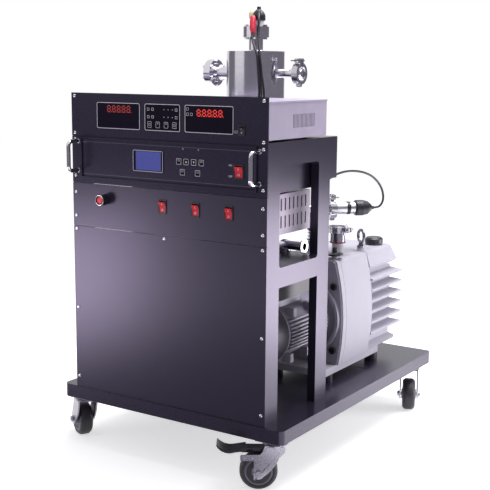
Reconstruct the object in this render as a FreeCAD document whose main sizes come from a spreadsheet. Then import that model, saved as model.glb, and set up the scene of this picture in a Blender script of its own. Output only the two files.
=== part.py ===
import FreeCAD, Part
import math
import os
from collections import namedtuple

import Sketcher
from FreeCAD import Placement, Rotation, Vector

# A turbomolecular pumping station on a wheeled tray, in millimetres, +Z up.
# X runs along the front panels from their left edge, Y runs back from their
# front face and Z rises from the top of the deck. The written shapes are moved
# so that the station stands centred on the floor.

SIZES = {
    # Tray and casters
    "deck_right_margin": 40.9,
    "deck_overhang": 35.0,
    "deck_rear_margin": 47.0,
    "deck_margin": 3.0,
    "deck_skirt": 28.0,
    "deck_sheet": 2.5,
    "deck_corner": 12.0,
    "channel_width": 60.0,
    "channel_sheet": 3.0,
    "slot_spacing_x": 159.0,
    "slot_spacing_y": 48.0,
    "slot_length": 26.0,
    "slot_width": 6.5,
    "slot_setback": 93.0,
    "caster_inset_left": 34.0,
    "caster_inset_right": 34.5,
    "caster_inset_front": 33.0,
    "caster_inset_rear": 50.0,
    "caster_head": 27.0,
    "caster_trail": 32.5,
    "caster_plate": 58.0,
    "caster_plate_sheet": 3.0,
    "caster_race_radius": 21.0,
    "caster_race": 5.0,
    "caster_gap": 0.5,
    "caster_pin_radius": 6.0,
    "caster_pin_fit": 0.08,
    "caster_pin_length": 12.8,
    "wheel_radius": 37.5,
    "wheel_width": 30.0,
    "hub_width": 36.0,
    "hub_radius": 12.0,
    "axle_radius": 4.0,
    "axle_fit": 0.08,
    "fork_width": 44.0,
    "fork_sheet": 3.0,
    "fork_disc": 25.0,
    "fork_yaw_front_left": 149.0,
    "fork_yaw_front_right": 213.0,
    "fork_yaw_rear_right": 296.0,
    "fork_yaw_rear_left": 250.0,
    "pedal_reach": 115.0,
    "pedal_width": 40.0,
    # Cabinet
    "rack_width": 482.6,
    "cabinet_depth": 240.0,
    "frame_height": 537.0,
    "frame_flange": 18.0,
    "frame_sheet": 2.0,
    "front_stile": 45.0,
    "rear_stile": 46.0,
    "rail_bottom": 267.0,
    "rail_top": 306.0,
    "header_bottom": 501.0,
    "window_radius": 8.0,
    "top_plate_height": 10.0,
    "rear_box_depth": 28.0,
    "apron_height": 75.0,
    "shelf_height": 7.0,
    "bracket_reach_left": 92.0,
    "bracket_reach_right": 90.0,
    "bracket_reach_rear": 74.0,
    # Front panels
    "panel_sheet": 3.0,
    "panel_gap": 0.8,
    "lower_panel_top": 351.7,
    "control_panel_top": 443.8,
    "controller_panel_top": 541.0,
    "gauge_panel_top": 630.4,
    "bezel_left": 24.6,
    "bezel_lip": 3.0,
    "bezel_rim": 3.5,
    "screw_radius": 3.6,
    "screw_head": 2.2,
    "screw_inset": 8.75,
    "lower_screw_rise": 23.0,
    "middle_screw_rise": 176.0,
    "lower_screw_margin": 5.7,
    "control_screw_rise": 22.0,
    "control_screw_margin": 19.3,
    "controller_screw_rise": 14.4,
    "controller_screw_margin": 6.0,
    "gauge_screw_rise": 7.0,
    "gauge_screw_margin": 6.4,
    # Windows and keys, placed from the panels' middle line
    "window_skin": 0.8,
    "window_corner": 3.0,
    "window_bottom": 559.7,
    "window_top": 612.3,
    "left_window_offset": -171.3,
    "left_window_width": 112.0,
    "middle_window_offset": -46.7,
    "middle_window_width": 87.1,
    "right_window_offset": 52.1,
    "right_window_width": 112.9,
    "screen_frame_offset": -77.3,
    "screen_frame_width": 76.0,
    "screen_frame_bottom": 477.4,
    "screen_frame_top": 520.2,
    "screen_offset": -70.3,
    "screen_width": 64.0,
    "screen_bottom": 480.0,
    "screen_top": 518.0,
    "key_half": 6.0,
    "gauge_key_height": 571.6,
    # Instruments
    "controller_case_left": 21.0,
    "controller_case_gap": 15.0,
    "case_sheet": 1.5,
    "case_dot_y": 62.0,
    "case_dot_z": 478.0,
    "case_dot_radius": 1.2,
    "case_dot_pitch": 5.0,
    "gauge_case_gap": 17.0,
    "gauge_case_sheet": 1.2,
    "case_lid": 3.0,
    "case_slit_start": 92.0,
    "case_slit_width": 2.2,
    "case_slit_low": 571.0,
    "case_slit_high": 597.0,
    "case_slit_pitch": 5.0,
    "case_foot_radius": 7.0,
    "case_foot_left": 40.0,
    "case_foot_right": 40.6,
    "case_foot_front": 30.0,
    "case_foot_rear": 23.0,
    "gauge_case_bottom": 551.0,
    "gauge_case_top": 622.5,
    "gauge_case_inset": 1.6,
    "handle_inset": 17.4,
    "handle_bottom": 466.0,
    "handle_top": 535.0,
    "handle_reach": 35.0,
    "handle_radius": 4.2,
    "supply_left": 150.0,
    "supply_inset_right": 42.6,
    "supply_foot_gap": 52.0,
    "supply_bottom": 357.0,
    "supply_top": 438.0,
    "supply_front": 42.0,
    "supply_gap_rear": 5.0,
    "supply_slit_width": 5.0,
    "supply_slit_rise": 24.0,
    "supply_slit_low": 13.0,
    "supply_slit_high": 48.0,
    "supply_slit_pitch": 16.0,
    # Vent valve
    "valve_inset": 90.6,
    "valve_reach": 48.0,
    "valve_gap_rear": 24.0,
    "valve_bore": 8.0,
    "valve_arm": 62.0,
    "valve_knob_radius": 13.0,
    # Switches and button
    "switch_height": 28.0,
    "switch_width": 20.0,
    "switch_wall": 2.1,
    "switch_row": 410.0,
    "rocker_pivot": 3.0,
    "fore_switch_inset": 245.5,
    "bake_switch_inset": 164.3,
    "vent_switch_inset": 86.2,
    "controller_switch_inset": 63.6,
    "controller_switch_z": 490.8,
    "controller_switch_height": 27.0,
    "controller_switch_width": 22.0,
    "gauge_switch_offset": 183.6,
    "gauge_switch_z": 568.1,
    "gauge_switch_height": 19.4,
    "gauge_switch_width": 14.4,
    "button_x": 88.0,
    "button_z": 413.0,
    "button_radius": 8.3,
    "button_barrel": 11.0,
    "button_reach": 18.5,
    # Chamber and its ports
    "stack_inset": 240.6,
    "stack_setback": 90.0,
    "chamber_radius": 64.0,
    "chamber_wall": 3.0,
    "chamber_bottom": 557.0,
    "chamber_top": 719.0,
    "chamber_flange_rim": 2.0,
    "chamber_flange": 10.0,
    "port_height": 672.0,
    "left_port_radius": 14.5,
    "left_port_reach": 40.0,
    "flange_pair_radius": 29.7,
    "flange_pair": 17.0,
    "right_port_radius": 9.5,
    "right_port_reach": 47.0,
    "tube_wall": 1.5,
    "top_port_radius": 15.7,
    "top_flange_bottom": 749.0,
    "top_flange_top": 772.0,
    "top_flange_radius": 29.0,
    # Small flange couplings
    "coupling_radius": 15.0,
    "coupling_rim": 2.4,
    "coupling_neck": 7.0,
    "gauge_cap_offset": 7.0,
    "clamp_radius": 23.0,
    "clamp_width": 14.0,
    "clamp_play": 0.4,
    "clamp_split": 6.0,
    # Turbo pump and foreline
    "turbo_radius": 57.0,
    "turbo_bottom": 350.0,
    "turbo_flange": 10.0,
    "turbo_bore": 47.0,
    "rotor_radius": 44.0,
    "rotor_shaft": 6.0,
    "bearing_fit": 0.06,
    "foreline_height": 368.0,
    "foreline_angle": 45.0,
    "foreline_radius": 10.0,
    "foreline_start": 101.0,
    "foreline_branch": 137.2,
    "foreline_end": 182.0,
    "branch_end": 330.0,
    "bellows_end": 289.0,
    "bellows_radius": 13.5,
    # Cold gauge on the foreline
    "pirani_radius": 14.0,
    "pirani_end": 235.0,
    "pirani_plug_radius": 18.0,
    "pirani_plug_end": 281.0,
    # Rotary vane pump
    "pump_offset": 128.0,
    "pump_setback": 26.0,
    "pump_rim": 16.0,
    "pump_barrel": 141.0,
    "pump_length": 299.0,
    "pump_top": 270.0,
    "pump_bottom": 34.0,
    "pump_top_half": 73.0,
    "pump_waist_half": 90.0,
    "pump_base_half": 80.0,
    "pump_corner": 10.0,
    "waist_height": 150.0,
    "ridge_count": 6.0,
    "ridge_top": 204.0,
    "ridge_pitch": 25.3,
    "ridge_depth": 22.0,
    "ridge_edge": 4.0,
    "base_sheet": 16.0,
    "base_half": 76.0,
    "base_reach_front": 56.0,
    "base_reach_rear": 212.0,
    "foot_height": 18.0,
    "foot_radius": 15.0,
    "foot_half": 64.0,
    "foot_reach_front": 26.0,
    "foot_reach_rear": 194.0,
    "front_bolt_half": 68.0,
    "front_bolt_high": 211.0,
    "front_bolt_low": 67.0,
    "front_bolt_radius": 8.0,
    "front_bolt_head": 6.0,
    # Drive
    "shaft_height": 138.0,
    "shaft_radius": 9.5,
    "lantern_length": 26.0,
    "motor_length": 164.0,
    "motor_radius": 62.0,
    "motor_fin_radius": 70.0,
    "motor_fin": 3.0,
    "motor_fin_pitch": 7.6,
    "motor_bore": 40.0,
    "cowl_length": 61.0,
    "cowl_radius": 66.0,
    "cowl_wall": 2.0,
    "ring_radius": 86.0,
    "ring_wall": 9.0,
    "ring_reach": 14.0,
    "stator_bore": 40.0,
    "vane_radius": 34.0,
    "vane_length": 84.0,
    # Terminal box
    "terminal_half": 56.0,
    "terminal_lip": 2.0,
    "terminal_bottom": 216.0,
    "terminal_seam": 250.0,
    "terminal_top": 262.0,
    "terminal_reach": 36.0,
    "terminal_length": 152.0,
    "gland_offset": 30.0,
    "gland_height": 236.0,
    "gland_radius": 10.0,
    "gland_reach": 22.0,
    # Pump top fittings
    "ballast_offset": 57.0,
    "ballast_setback": 17.0,
    "exhaust_offset": 35.0,
    "exhaust_setback": 69.0,
    "exhaust_bore": 8.0,
    "exhaust_top": 327.0,
    "eye_offset": 57.0,
    "eye_setback": 141.0,
    "eye_ring_radius": 14.0,
    "eye_thickness": 3.2,
    "oil_cap_offset": 43.0,
    "oil_cap_setback": 237.0,
    "oil_cap_radius": 21.0,
    # Cables
    "ion_plug_length": 13.0,
    "pirani_plug_length": 33.0,
    "ion_cable_radius": 2.5,
    "pirani_cable_radius": 2.5,
}

doc = FreeCAD.newDocument("TurboPumpingStation")
sheet = doc.addObject("Spreadsheet::Sheet", "Sizes")
for line, (alias, number) in enumerate(SIZES.items(), 1):
    sheet.set("A%d" % line, alias)
    sheet.set("B%d" % line, str(number))
    sheet.setAlias("B%d" % line, alias)
doc.recompute()

NODES = []


# Sizes that know their own formula

class Size:
    """A number together with the sheet formula that gives it."""

    def __init__(self, value, text):
        self.value = float(value)
        self.text = text

    def join(self, other, sign, value):
        return Size(value, "(%s %s %s)" % (self.text, sign, other.text))

    def __add__(self, other):
        other = as_size(other)
        return self.join(other, "+", self.value + other.value)

    def __sub__(self, other):
        other = as_size(other)
        return self.join(other, "-", self.value - other.value)

    def __mul__(self, other):
        other = as_size(other)
        return self.join(other, "*", self.value * other.value)

    def __truediv__(self, other):
        other = as_size(other)
        return self.join(other, "/", self.value / other.value)

    def __radd__(self, other):
        return as_size(other) + self

    def __rsub__(self, other):
        return as_size(other) - self

    def __rmul__(self, other):
        return as_size(other) * self

    def __neg__(self):
        return Size(-self.value, "(0 - %s)" % self.text)


def as_size(number):
    if isinstance(number, Size):
        return number
    return Size(number, "(%.9g)" % number)


def cosine(angle):
    angle = as_size(angle)
    return Size(math.cos(math.radians(angle.value)), "cos(%s)" % angle.text)


def sine(angle):
    angle = as_size(angle)
    return Size(math.sin(math.radians(angle.value)), "sin(%s)" % angle.text)


def root(number):
    number = as_size(number)
    return Size(math.sqrt(number.value), "sqrt(%s)" % number.text)


class Cells:
    """Gives each named cell as a Size."""

    def __getattr__(self, alias):
        return Size(SIZES[alias], "Sizes." + alias)


S = Cells()


# Sizes and places that follow from others

rack_middle = S.rack_width / 2
control_bottom = S.lower_panel_top + S.panel_gap
controller_bottom = S.control_panel_top + S.panel_gap
controller_case_rear = S.cabinet_depth - S.controller_case_gap
gauge_case_rear = S.cabinet_depth - S.gauge_case_gap
supply_right = S.rack_width - S.supply_inset_right
supply_rear = S.cabinet_depth - S.supply_gap_rear
fore_switch_x = S.rack_width - S.fore_switch_inset
bake_switch_x = S.rack_width - S.bake_switch_inset
vent_switch_x = S.rack_width - S.vent_switch_inset
controller_switch_x = S.rack_width - S.controller_switch_inset
gauge_switch_x = rack_middle + S.gauge_switch_offset
top_plate_rear = S.cabinet_depth + S.rear_box_depth
stack_x = S.rack_width - S.stack_inset
stack_y = S.cabinet_depth + S.stack_setback
bracket_left = stack_x - S.bracket_reach_left
bracket_right = stack_x + S.bracket_reach_right
bracket_rear = stack_y + S.bracket_reach_rear
chamber_flange_radius = S.chamber_radius + S.chamber_flange_rim
left_port_end = stack_x - S.chamber_radius - S.left_port_reach
right_port_end = stack_x + S.chamber_radius + S.right_port_reach
pump_x = stack_x + S.pump_offset
pump_front = stack_y + S.pump_setback
pump_shoulder = pump_front + S.pump_barrel
pump_rear = pump_front + S.pump_length
base_front = pump_front - S.base_reach_front
base_rear = pump_front + S.base_reach_rear
foot_front = pump_front - S.foot_reach_front
foot_rear = pump_front + S.foot_reach_rear
motor_rear = pump_front - S.lantern_length
motor_front = motor_rear - S.motor_length
cowl_front = motor_front - S.cowl_length
ballast_x = pump_x + S.ballast_offset
ballast_y = pump_front + S.ballast_setback
exhaust_x = pump_x + S.exhaust_offset
exhaust_y = pump_front + S.exhaust_setback
eye_x = pump_x + S.eye_offset
eye_y = pump_front + S.eye_setback
oil_cap_x = pump_x + S.oil_cap_offset
oil_cap_y = pump_front + S.oil_cap_setback
deck_left = -S.deck_overhang
deck_right = S.rack_width + S.deck_right_margin
deck_front = -S.deck_margin
deck_rear = pump_rear + S.deck_rear_margin
caster_left = deck_left + S.caster_inset_left
caster_right = deck_right - S.caster_inset_right
caster_front = deck_front + S.caster_inset_front
caster_rear = deck_rear - S.caster_inset_rear
slot_centre_y = pump_front + S.slot_setback


def bind(obj, prop, number):
    obj.setExpression(prop, as_size(number).text)


# Places and turns

UP = Rotation()
DOWN = Rotation(Vector(1, 0, 0), 180)
TO_RIGHT = Rotation(Vector(0, 1, 0), 90)
TO_LEFT = Rotation(Vector(0, 1, 0), -90)
TO_REAR = Rotation(Vector(1, 0, 0), -90)
TO_FRONT = Rotation(Vector(1, 0, 0), 90)


def placed(obj, base=(0, 0, 0), turn=UP):
    obj.Placement = Placement(Vector(0, 0, 0), turn)
    for axis, number in zip("xyz", base):
        bind(obj, "Placement.Base." + axis, number)
    return obj


def swung(obj, base, angle):
    """Place a piece and turn it about the vertical by an angle from the sheet."""
    placed(obj, base, Rotation(Vector(0, 0, 1), as_size(angle).value))
    bind(obj, "Placement.Rotation.Angle", angle)
    return obj


def node(obj, label):
    obj.Label = label
    NODES.append(obj)
    return obj


# Solids from primitives

def block(x1, x2, y1, y2, z1, z2):
    obj = doc.addObject("Part::Box", "block")
    bind(obj, "Length", as_size(x2) - x1)
    bind(obj, "Width", as_size(y2) - y1)
    bind(obj, "Height", as_size(z2) - z1)
    return placed(obj, (x1, y1, z1))


def rod(radius, length, base, turn=UP):
    obj = doc.addObject("Part::Cylinder", "rod")
    bind(obj, "Radius", radius)
    bind(obj, "Height", length)
    return placed(obj, base, turn)


def cone(radius1, radius2, length, base, turn=UP):
    obj = doc.addObject("Part::Cone", "cone")
    bind(obj, "Radius1", radius1)
    bind(obj, "Radius2", radius2)
    bind(obj, "Height", length)
    return placed(obj, base, turn)


def prismatic(sides, radius, length, base, turn=UP):
    """A regular prism, such as a nut or a bolt's head."""
    obj = doc.addObject("Part::Prism", "prism")
    obj.Polygon = sides
    bind(obj, "Circumradius", radius)
    bind(obj, "Height", length)
    return placed(obj, base, turn)


def fuse(*parts):
    obj = doc.addObject("Part::MultiFuse", "fuse")
    obj.Shapes = list(parts)
    return obj


def cut(base, *tools):
    obj = doc.addObject("Part::Cut", "cut")
    obj.Base = base
    obj.Tool = tools[0] if len(tools) == 1 else fuse(*tools)
    return obj


def group(*parts):
    obj = doc.addObject("Part::Compound", "group")
    obj.Links = list(parts)
    return obj


def tube(radius, wall, length, base, turn=UP):
    """A straight tube, or a ring where it is short."""
    outer = rod(radius, length, base, turn)
    inner = rod(radius - wall, length, base, turn)
    return cut(outer, inner)


# Bodies from sketches

Circle = namedtuple("Circle", "x y radius")


def vector(point):
    return Vector(as_size(point[0]).value, as_size(point[1]).value, 0)


def place_rules(geometry, position, point):
    """Rules that hold one point of a sketch at its distances from the origin."""
    rules = []
    for kind, number in zip(("DistanceX", "DistanceY"), point):
        number = as_size(number)
        rule = Sketcher.Constraint(kind, -1, 1, geometry, position, number.value)
        rules.append((rule, number))
    return rules


def draw_circle(sketch, circle):
    radius = as_size(circle.radius)
    shape = Part.Circle(vector(circle[:2]), Vector(0, 0, 1), radius.value)
    geometry = sketch.addGeometry(shape, False)
    rules = place_rules(geometry, 3, circle[:2])
    rules.append((Sketcher.Constraint("Radius", geometry, radius.value), radius))
    return rules


def draw_edge(sketch, start, item):
    """A line, or an arc through a middle point: its geometry, first end, last end and rules."""
    end = vector(item[-2:])
    if len(item) == 2:
        geometry = sketch.addGeometry(Part.LineSegment(start, end), False)
        return geometry, 1, 2, place_rules(geometry, 2, item)
    through = vector(item[:2])
    leftward = (through - start).cross(end - through).z > 0
    arc = Part.Arc(start, through, end) if leftward else Part.Arc(end, through, start)
    geometry = sketch.addGeometry(arc, False)
    first, last = (1, 2) if leftward else (2, 1)
    rules = place_rules(geometry, last, item[-2:])
    point = sketch.addGeometry(Part.Point(through), True)
    rules += place_rules(point, 1, item[:2])
    rules.append((Sketcher.Constraint("PointOnObject", point, 1, geometry), None))
    return geometry, first, last, rules


def draw_loop(sketch, items):
    """Close a loop through points. An item of four numbers is an arc through its first pair."""
    rules = []
    edges = []
    for index, item in enumerate(items):
        geometry, first, last, more = draw_edge(sketch, vector(items[index - 1][-2:]), item)
        edges.append((geometry, first, last))
        rules += more
    for before, after in zip(edges[-1:] + edges, edges):
        rule = Sketcher.Constraint("Coincident", before[0], before[2], after[0], after[1])
        rules.append((rule, None))
    return rules


def draw_path(sketch, items):
    """An open path of lines and arcs, from the first point on."""
    rules = []
    edges = []
    for before, item in zip(items, items[1:]):
        geometry, first, last, more = draw_edge(sketch, vector(before[-2:]), item)
        edges.append((geometry, first, last))
        rules += more
    rules += place_rules(edges[0][0], edges[0][1], items[0])
    for before, after in zip(edges, edges[1:]):
        rule = Sketcher.Constraint("Coincident", before[0], before[2], after[0], after[1])
        rules.append((rule, None))
    return rules


def hold(sketch, rules):
    """Add a sketch's rules in one go and tie their numbers to the sheet."""
    indices = sketch.addConstraint([rule for rule, _ in rules])
    for index, (_, number) in zip(indices, rules):
        if number is not None and "Sizes." in number.text:
            sketch.setExpression("Constraints[%d]" % index, number.text)


def new_sketch(body, plane, at, label):
    sketch = body.newObject("Sketcher::SketchObject", label)
    support = [face for face in body.Origin.OriginFeatures if face.Role == plane + "_Plane"]
    sketch.AttachmentSupport = [(support[0], "")]
    sketch.MapMode = "FlatFace"
    along = -as_size(at) if plane == "XZ" else as_size(at)
    bind(sketch, "AttachmentOffset.Base.z", along)
    return sketch


def sketch_on(body, plane, at, loops):
    sketch = new_sketch(body, plane, at, "outline")
    rules = []
    for loop in loops:
        if isinstance(loop, Circle):
            rules += draw_circle(sketch, loop)
        else:
            rules += draw_loop(sketch, loop)
    hold(sketch, rules)
    return sketch


def new_body(label):
    body = doc.addObject("PartDesign::Body", label)
    body.AllowCompound = True
    return body


def prism(body, plane, start, end, *loops, remove=False):
    """Add or remove the loops drawn on a plane, between two places along its axis."""
    sketch = sketch_on(body, plane, start, loops)
    kind = "Pocket" if remove else "Pad"
    feature = body.newObject("PartDesign::" + kind, kind)
    feature.Profile = sketch
    bind(feature, "Length", as_size(end) - start)
    feature.Reversed = (plane == "XZ") != remove
    return feature


def spin(body, *items, remove=False):
    """Add or remove a profile of radius and height, turned about the body's own Z axis."""
    sketch = sketch_on(body, "XZ", 0, [items])
    kind = "Groove" if remove else "Revolution"
    feature = body.newObject("PartDesign::" + kind, kind)
    feature.Profile = sketch
    feature.ReferenceAxis = (sketch, ["V_Axis"])
    feature.Angle = 360
    return feature


def repeat(body, feature, axis, pitch, count):
    """Repeat a feature along one of the body's axes."""
    pattern = body.newObject("PartDesign::LinearPattern", "LinearPattern")
    pattern.Originals = [feature]
    line = [item for item in body.Origin.OriginFeatures if item.Role == axis + "_Axis"]
    pattern.Direction = (line[0], [""])
    bind(pattern, "Length", pitch * (count - 1))
    bind(pattern, "Occurrences", count)
    body.Tip = pattern
    return pattern


def rect(x1, x2, y1, y2):
    return [(x1, y1), (x2, y1), (x2, y2), (x1, y2)]


def rounded(x1, x2, y1, y2, radius):
    """A rectangle with round corners."""
    nip = radius * (1 - math.sqrt(0.5))
    return [
        (x2 - radius, y1), (x2 - nip, y1 + nip, x2, y1 + radius),
        (x2, y2 - radius), (x2 - nip, y2 - nip, x2 - radius, y2),
        (x1 + radius, y2), (x1 + nip, y2 - nip, x1, y2 - radius),
        (x1, y1 + radius), (x1 + nip, y1 + nip, x1 + radius, y1),
    ]


def slot(x, y, length, width):
    """A slot along the first axis of its plane."""
    reach = (as_size(length) - width) / 2
    half = as_size(width) / 2
    return [
        (x + reach, y - half), (x + reach + half, y, x + reach, y + half),
        (x - reach, y + half), (x - reach - half, y, x - reach, y - half),
    ]


# Places that several pieces share

frame_front = S.panel_sheet
frame_top = S.frame_height
plate_top = S.frame_height + S.top_plate_height
rear_stile_front = S.cabinet_depth - S.rear_stile
skirt_bottom = -S.deck_skirt
stack = (stack_x, stack_y)
shelf_top = S.rail_top - S.frame_sheet
valve_x = S.rack_width - S.valve_inset
valve_y = S.cabinet_depth - S.valve_gap_rear
valve_z = shelf_top + S.coupling_radius + 1
race_bottom = -S.caster_plate_sheet - S.caster_race
fork_top = race_bottom - S.caster_gap
fork_under = fork_top - S.fork_sheet
axle_drop = S.wheel_radius + S.caster_head
CASTERS = {
    "front_left": (caster_left, caster_front, S.fork_yaw_front_left),
    "front_right": (caster_right, caster_front, S.fork_yaw_front_right),
    "rear_right": (caster_right, caster_rear, S.fork_yaw_rear_right),
    "rear_left": (caster_left, caster_rear, S.fork_yaw_rear_left),
}


# The tray

def base_tray():
    tray = new_body("base_tray")
    outline = rounded(deck_left, deck_right, deck_front, deck_rear, S.deck_corner)
    prism(tray, "XY", skirt_bottom, 0, outline)
    wall = S.deck_sheet
    inside = rounded(deck_left + wall, deck_right - wall, deck_front + wall, deck_rear - wall,
                     S.deck_corner - wall)
    prism(tray, "XY", skirt_bottom, -S.deck_sheet, inside, remove=True)
    slots = []
    for side in (-0.5, 0.5):
        for end in (-0.5, 0.5):
            slots.append(slot(pump_x + side * S.slot_spacing_x,
                              slot_centre_y + end * S.slot_spacing_y,
                              S.slot_length, S.slot_width))
    prism(tray, "XY", -S.deck_sheet, 0, *slots, remove=True)
    node(tray, "base_tray")


def cross_channels():
    """Two folded channels under the deck that carry the casters."""
    channels = new_body("cross_channels")
    left = deck_left + S.deck_corner
    right = deck_right - S.deck_corner
    for centre in (caster_front, caster_rear):
        half = S.channel_width / 2
        sheet_wall = S.channel_sheet
        prism(channels, "YZ", left, right, [
            (centre - half, -S.deck_sheet), (centre - half, skirt_bottom),
            (centre + half, skirt_bottom), (centre + half, -S.deck_sheet),
            (centre + half - sheet_wall, -S.deck_sheet),
            (centre + half - sheet_wall, skirt_bottom + sheet_wall),
            (centre - half + sheet_wall, skirt_bottom + sheet_wall),
            (centre - half + sheet_wall, -S.deck_sheet),
        ])
    node(channels, "cross_channels")


# The casters

def caster_plates():
    """The fixed top plates, with the upper race and the king pin of each caster."""
    pieces = []
    for x, y, _ in CASTERS.values():
        half = S.caster_plate / 2
        plate = block(-half, half, -half, half, -S.caster_plate_sheet, 0)
        race = cone(S.caster_race_radius, S.caster_race_radius - 3, S.caster_race,
                    (0, 0, -S.caster_plate_sheet), DOWN)
        pin = rod(S.caster_pin_radius, S.caster_pin_length, (0, 0, -S.caster_plate_sheet), DOWN)
        head = rod(9, 3, (0, 0, fork_under - 0.5), DOWN)
        caster = fuse(plate, race, pin, head)
        placed(caster, (x, y, skirt_bottom))
        pieces.append(caster)
    node(group(*pieces), "caster_plates")


def caster_fork(name, x, y, yaw):
    fork = new_body("caster_fork_" + name)
    half = S.fork_width / 2
    prism(fork, "XY", fork_under, fork_top, Circle(0, 0, S.fork_disc),
          Circle(0, 0, S.caster_pin_radius + S.caster_pin_fit))
    reach = S.caster_trail
    for inner in (half - S.fork_sheet, -half):
        prism(fork, "XZ", inner, inner + S.fork_sheet, [
            (-12, fork_top), (-8, -30, reach - 9, -axle_drop - 7),
            (reach, -axle_drop - 12, reach + 9, -axle_drop - 7),
            (reach + 9, -axle_drop + 10), (20, fork_top),
        ])
    axle_end = half + 5
    prism(fork, "XZ", -axle_end, axle_end, Circle(reach, -axle_drop, S.axle_radius))
    for start in (-axle_end, half):
        prism(fork, "XZ", start, start + 5, Circle(reach, -axle_drop, 6.5))
    swung(fork, (x, y, skirt_bottom), yaw)
    node(fork, "caster_fork_" + name)


def caster_wheel(name, x, y, yaw):
    wheel = new_body("wheel_blank_" + name)
    outer = S.wheel_radius
    half = S.wheel_width / 2
    hub = S.hub_width / 2
    bore = S.axle_radius + S.axle_fit
    rim = outer - 10
    spin(wheel, (bore, -hub), (S.hub_radius, -hub), (rim, -half), (outer - 4, -half),
         (outer, -half / 2), (outer, half / 2), (outer - 4, half), (rim, half),
         (S.hub_radius, hub), (bore, hub))
    placed(wheel, (S.caster_trail, 0, -axle_drop), TO_REAR)
    turned = group(wheel)
    swung(turned, (x, y, skirt_bottom), yaw)
    node(turned, "caster_wheel_" + name)


def brake_pedal():
    """The pedal pivots on a pin between the fork's cheeks and its shoe bears on the tyre."""
    pedal = new_body("brake_pedal")
    tongue = 12
    top = fork_under - 4.5
    prism(pedal, "XZ", -tongue, tongue, [
        (11, top), (62, top), (62, top - 3.5), (44, top - 3.5), (44, top - 6.5),
        (29, top - 6.5), (29, top - 3.5), (11, top - 3.5),
    ])
    tip = S.pedal_reach
    prism(pedal, "XZ", -S.pedal_width / 2, S.pedal_width / 2, [
        (58, top + 0.5), (58, top - 4), (80, top - 7), (tip - 8, top - 3, tip, top + 6),
        (tip - 2, top + 7.5), (tip - 10, top + 1, 80, top - 3),
    ])
    pin_end = S.fork_width / 2 - S.fork_sheet - 0.3
    prism(pedal, "XZ", -pin_end, pin_end, Circle(15, top - 1.75, 3))
    x, y, yaw = CASTERS["front_right"]
    swung(pedal, (x, y, skirt_bottom), yaw)
    node(pedal, "brake_pedal")


# The cabinet

def side_frame(name, outer, inward):
    """A folded side frame: a web with two windows, and flanges that turn inward."""
    frame = new_body("side_frame_" + name)
    front = frame_front
    rear = S.cabinet_depth
    fold = S.frame_sheet
    inner = outer + inward * S.frame_flange
    low, high = (outer, inner) if inward > 0 else (inner, outer)
    outline = [
        (front, 0), (S.front_stile, 0), (S.front_stile, S.rail_bottom),
        (rear_stile_front, S.rail_bottom), (rear_stile_front, 0), (rear, 0),
        (rear, frame_top), (front, frame_top),
    ]
    window = rounded(S.front_stile, rear_stile_front, S.rail_top, S.header_bottom,
                     S.window_radius)
    prism(frame, "YZ", low, high, outline, window)
    channel = [
        (front + fold, fold), (S.front_stile - fold, fold),
        (S.front_stile - fold, S.rail_bottom + fold),
        (rear_stile_front + fold, S.rail_bottom + fold), (rear_stile_front + fold, fold),
        (rear - fold, fold), (rear - fold, frame_top - fold), (front + fold, frame_top - fold),
    ]
    rim = rounded(S.front_stile - fold, rear_stile_front + fold, S.rail_top - fold,
                  S.header_bottom + fold, S.window_radius + fold)
    if inward > 0:
        prism(frame, "YZ", low + fold, high, channel, rim, remove=True)
    else:
        prism(frame, "YZ", low, high - fold, channel, rim, remove=True)
    node(frame, "side_frame_" + name)


def top_plate():
    """The folded top plate with its raised rear box."""
    plate = new_body("top_plate")
    fold = S.frame_sheet
    right = S.rack_width
    rear = top_plate_rear
    front = frame_front
    prism(plate, "XY", frame_top, plate_top, rect(0, right, front, rear))
    prism(plate, "XY", frame_top, plate_top - fold,
          rect(fold, right - fold, front + fold, S.cabinet_depth), remove=True)
    apron_bottom = frame_top - S.apron_height
    prism(plate, "XY", apron_bottom, plate_top - fold,
          rect(0, right, S.cabinet_depth, rear))
    prism(plate, "XY", apron_bottom, plate_top - fold,
          rect(fold, right - fold, S.cabinet_depth + fold, rear - fold), remove=True)
    node(plate, "top_plate")


def pump_bracket():
    """The plate behind the cabinet that the turbo pump hangs from."""
    bracket = new_body("pump_bracket")
    rear = top_plate_rear
    prism(bracket, "XY", frame_top, plate_top,
          rounded(bracket_left, bracket_right, rear, bracket_rear, as_size(6)),
          Circle(stack_x, stack_y, S.turbo_radius + 1))
    for start in (bracket_left, bracket_right - 4):
        prism(bracket, "YZ", start, start + 4, [
            (rear, frame_top - 60), (rear + 12, frame_top - 60),
            (bracket_rear - 6, frame_top), (rear, frame_top),
        ])
    node(bracket, "pump_bracket")


def instrument_shelf():
    shelf = new_body("instrument_shelf")
    fold = S.frame_sheet
    bottom = shelf_top - S.shelf_height
    left = fold
    right = S.rack_width - fold
    front = frame_front + fold
    rear = S.cabinet_depth - fold
    prism(shelf, "XY", bottom, shelf_top, rect(left, right, front, rear))
    prism(shelf, "XY", bottom, shelf_top - fold,
          rect(left + fold, right - fold, front + fold, rear - fold), remove=True)
    node(shelf, "instrument_shelf")


# The front panels

def screw_places():
    """Where the panel screws sit: x and z in the front plane."""
    left = S.screw_inset
    right = S.rack_width - S.screw_inset
    places = []
    lower_top = S.lower_panel_top - S.lower_screw_margin
    for z in (S.lower_screw_rise, S.middle_screw_rise, lower_top):
        places += [(left, z), (right, z)]
    places.append((rack_middle, lower_top))
    rows = (control_bottom + S.control_screw_rise, S.control_panel_top - S.control_screw_margin,
            controller_bottom + S.controller_screw_rise,
            S.controller_panel_top - S.controller_screw_margin,
            S.controller_panel_top + S.gauge_screw_rise, S.gauge_panel_top - S.gauge_screw_margin)
    for z in rows:
        places += [(left, z), (right, z)]
    return places


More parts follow.
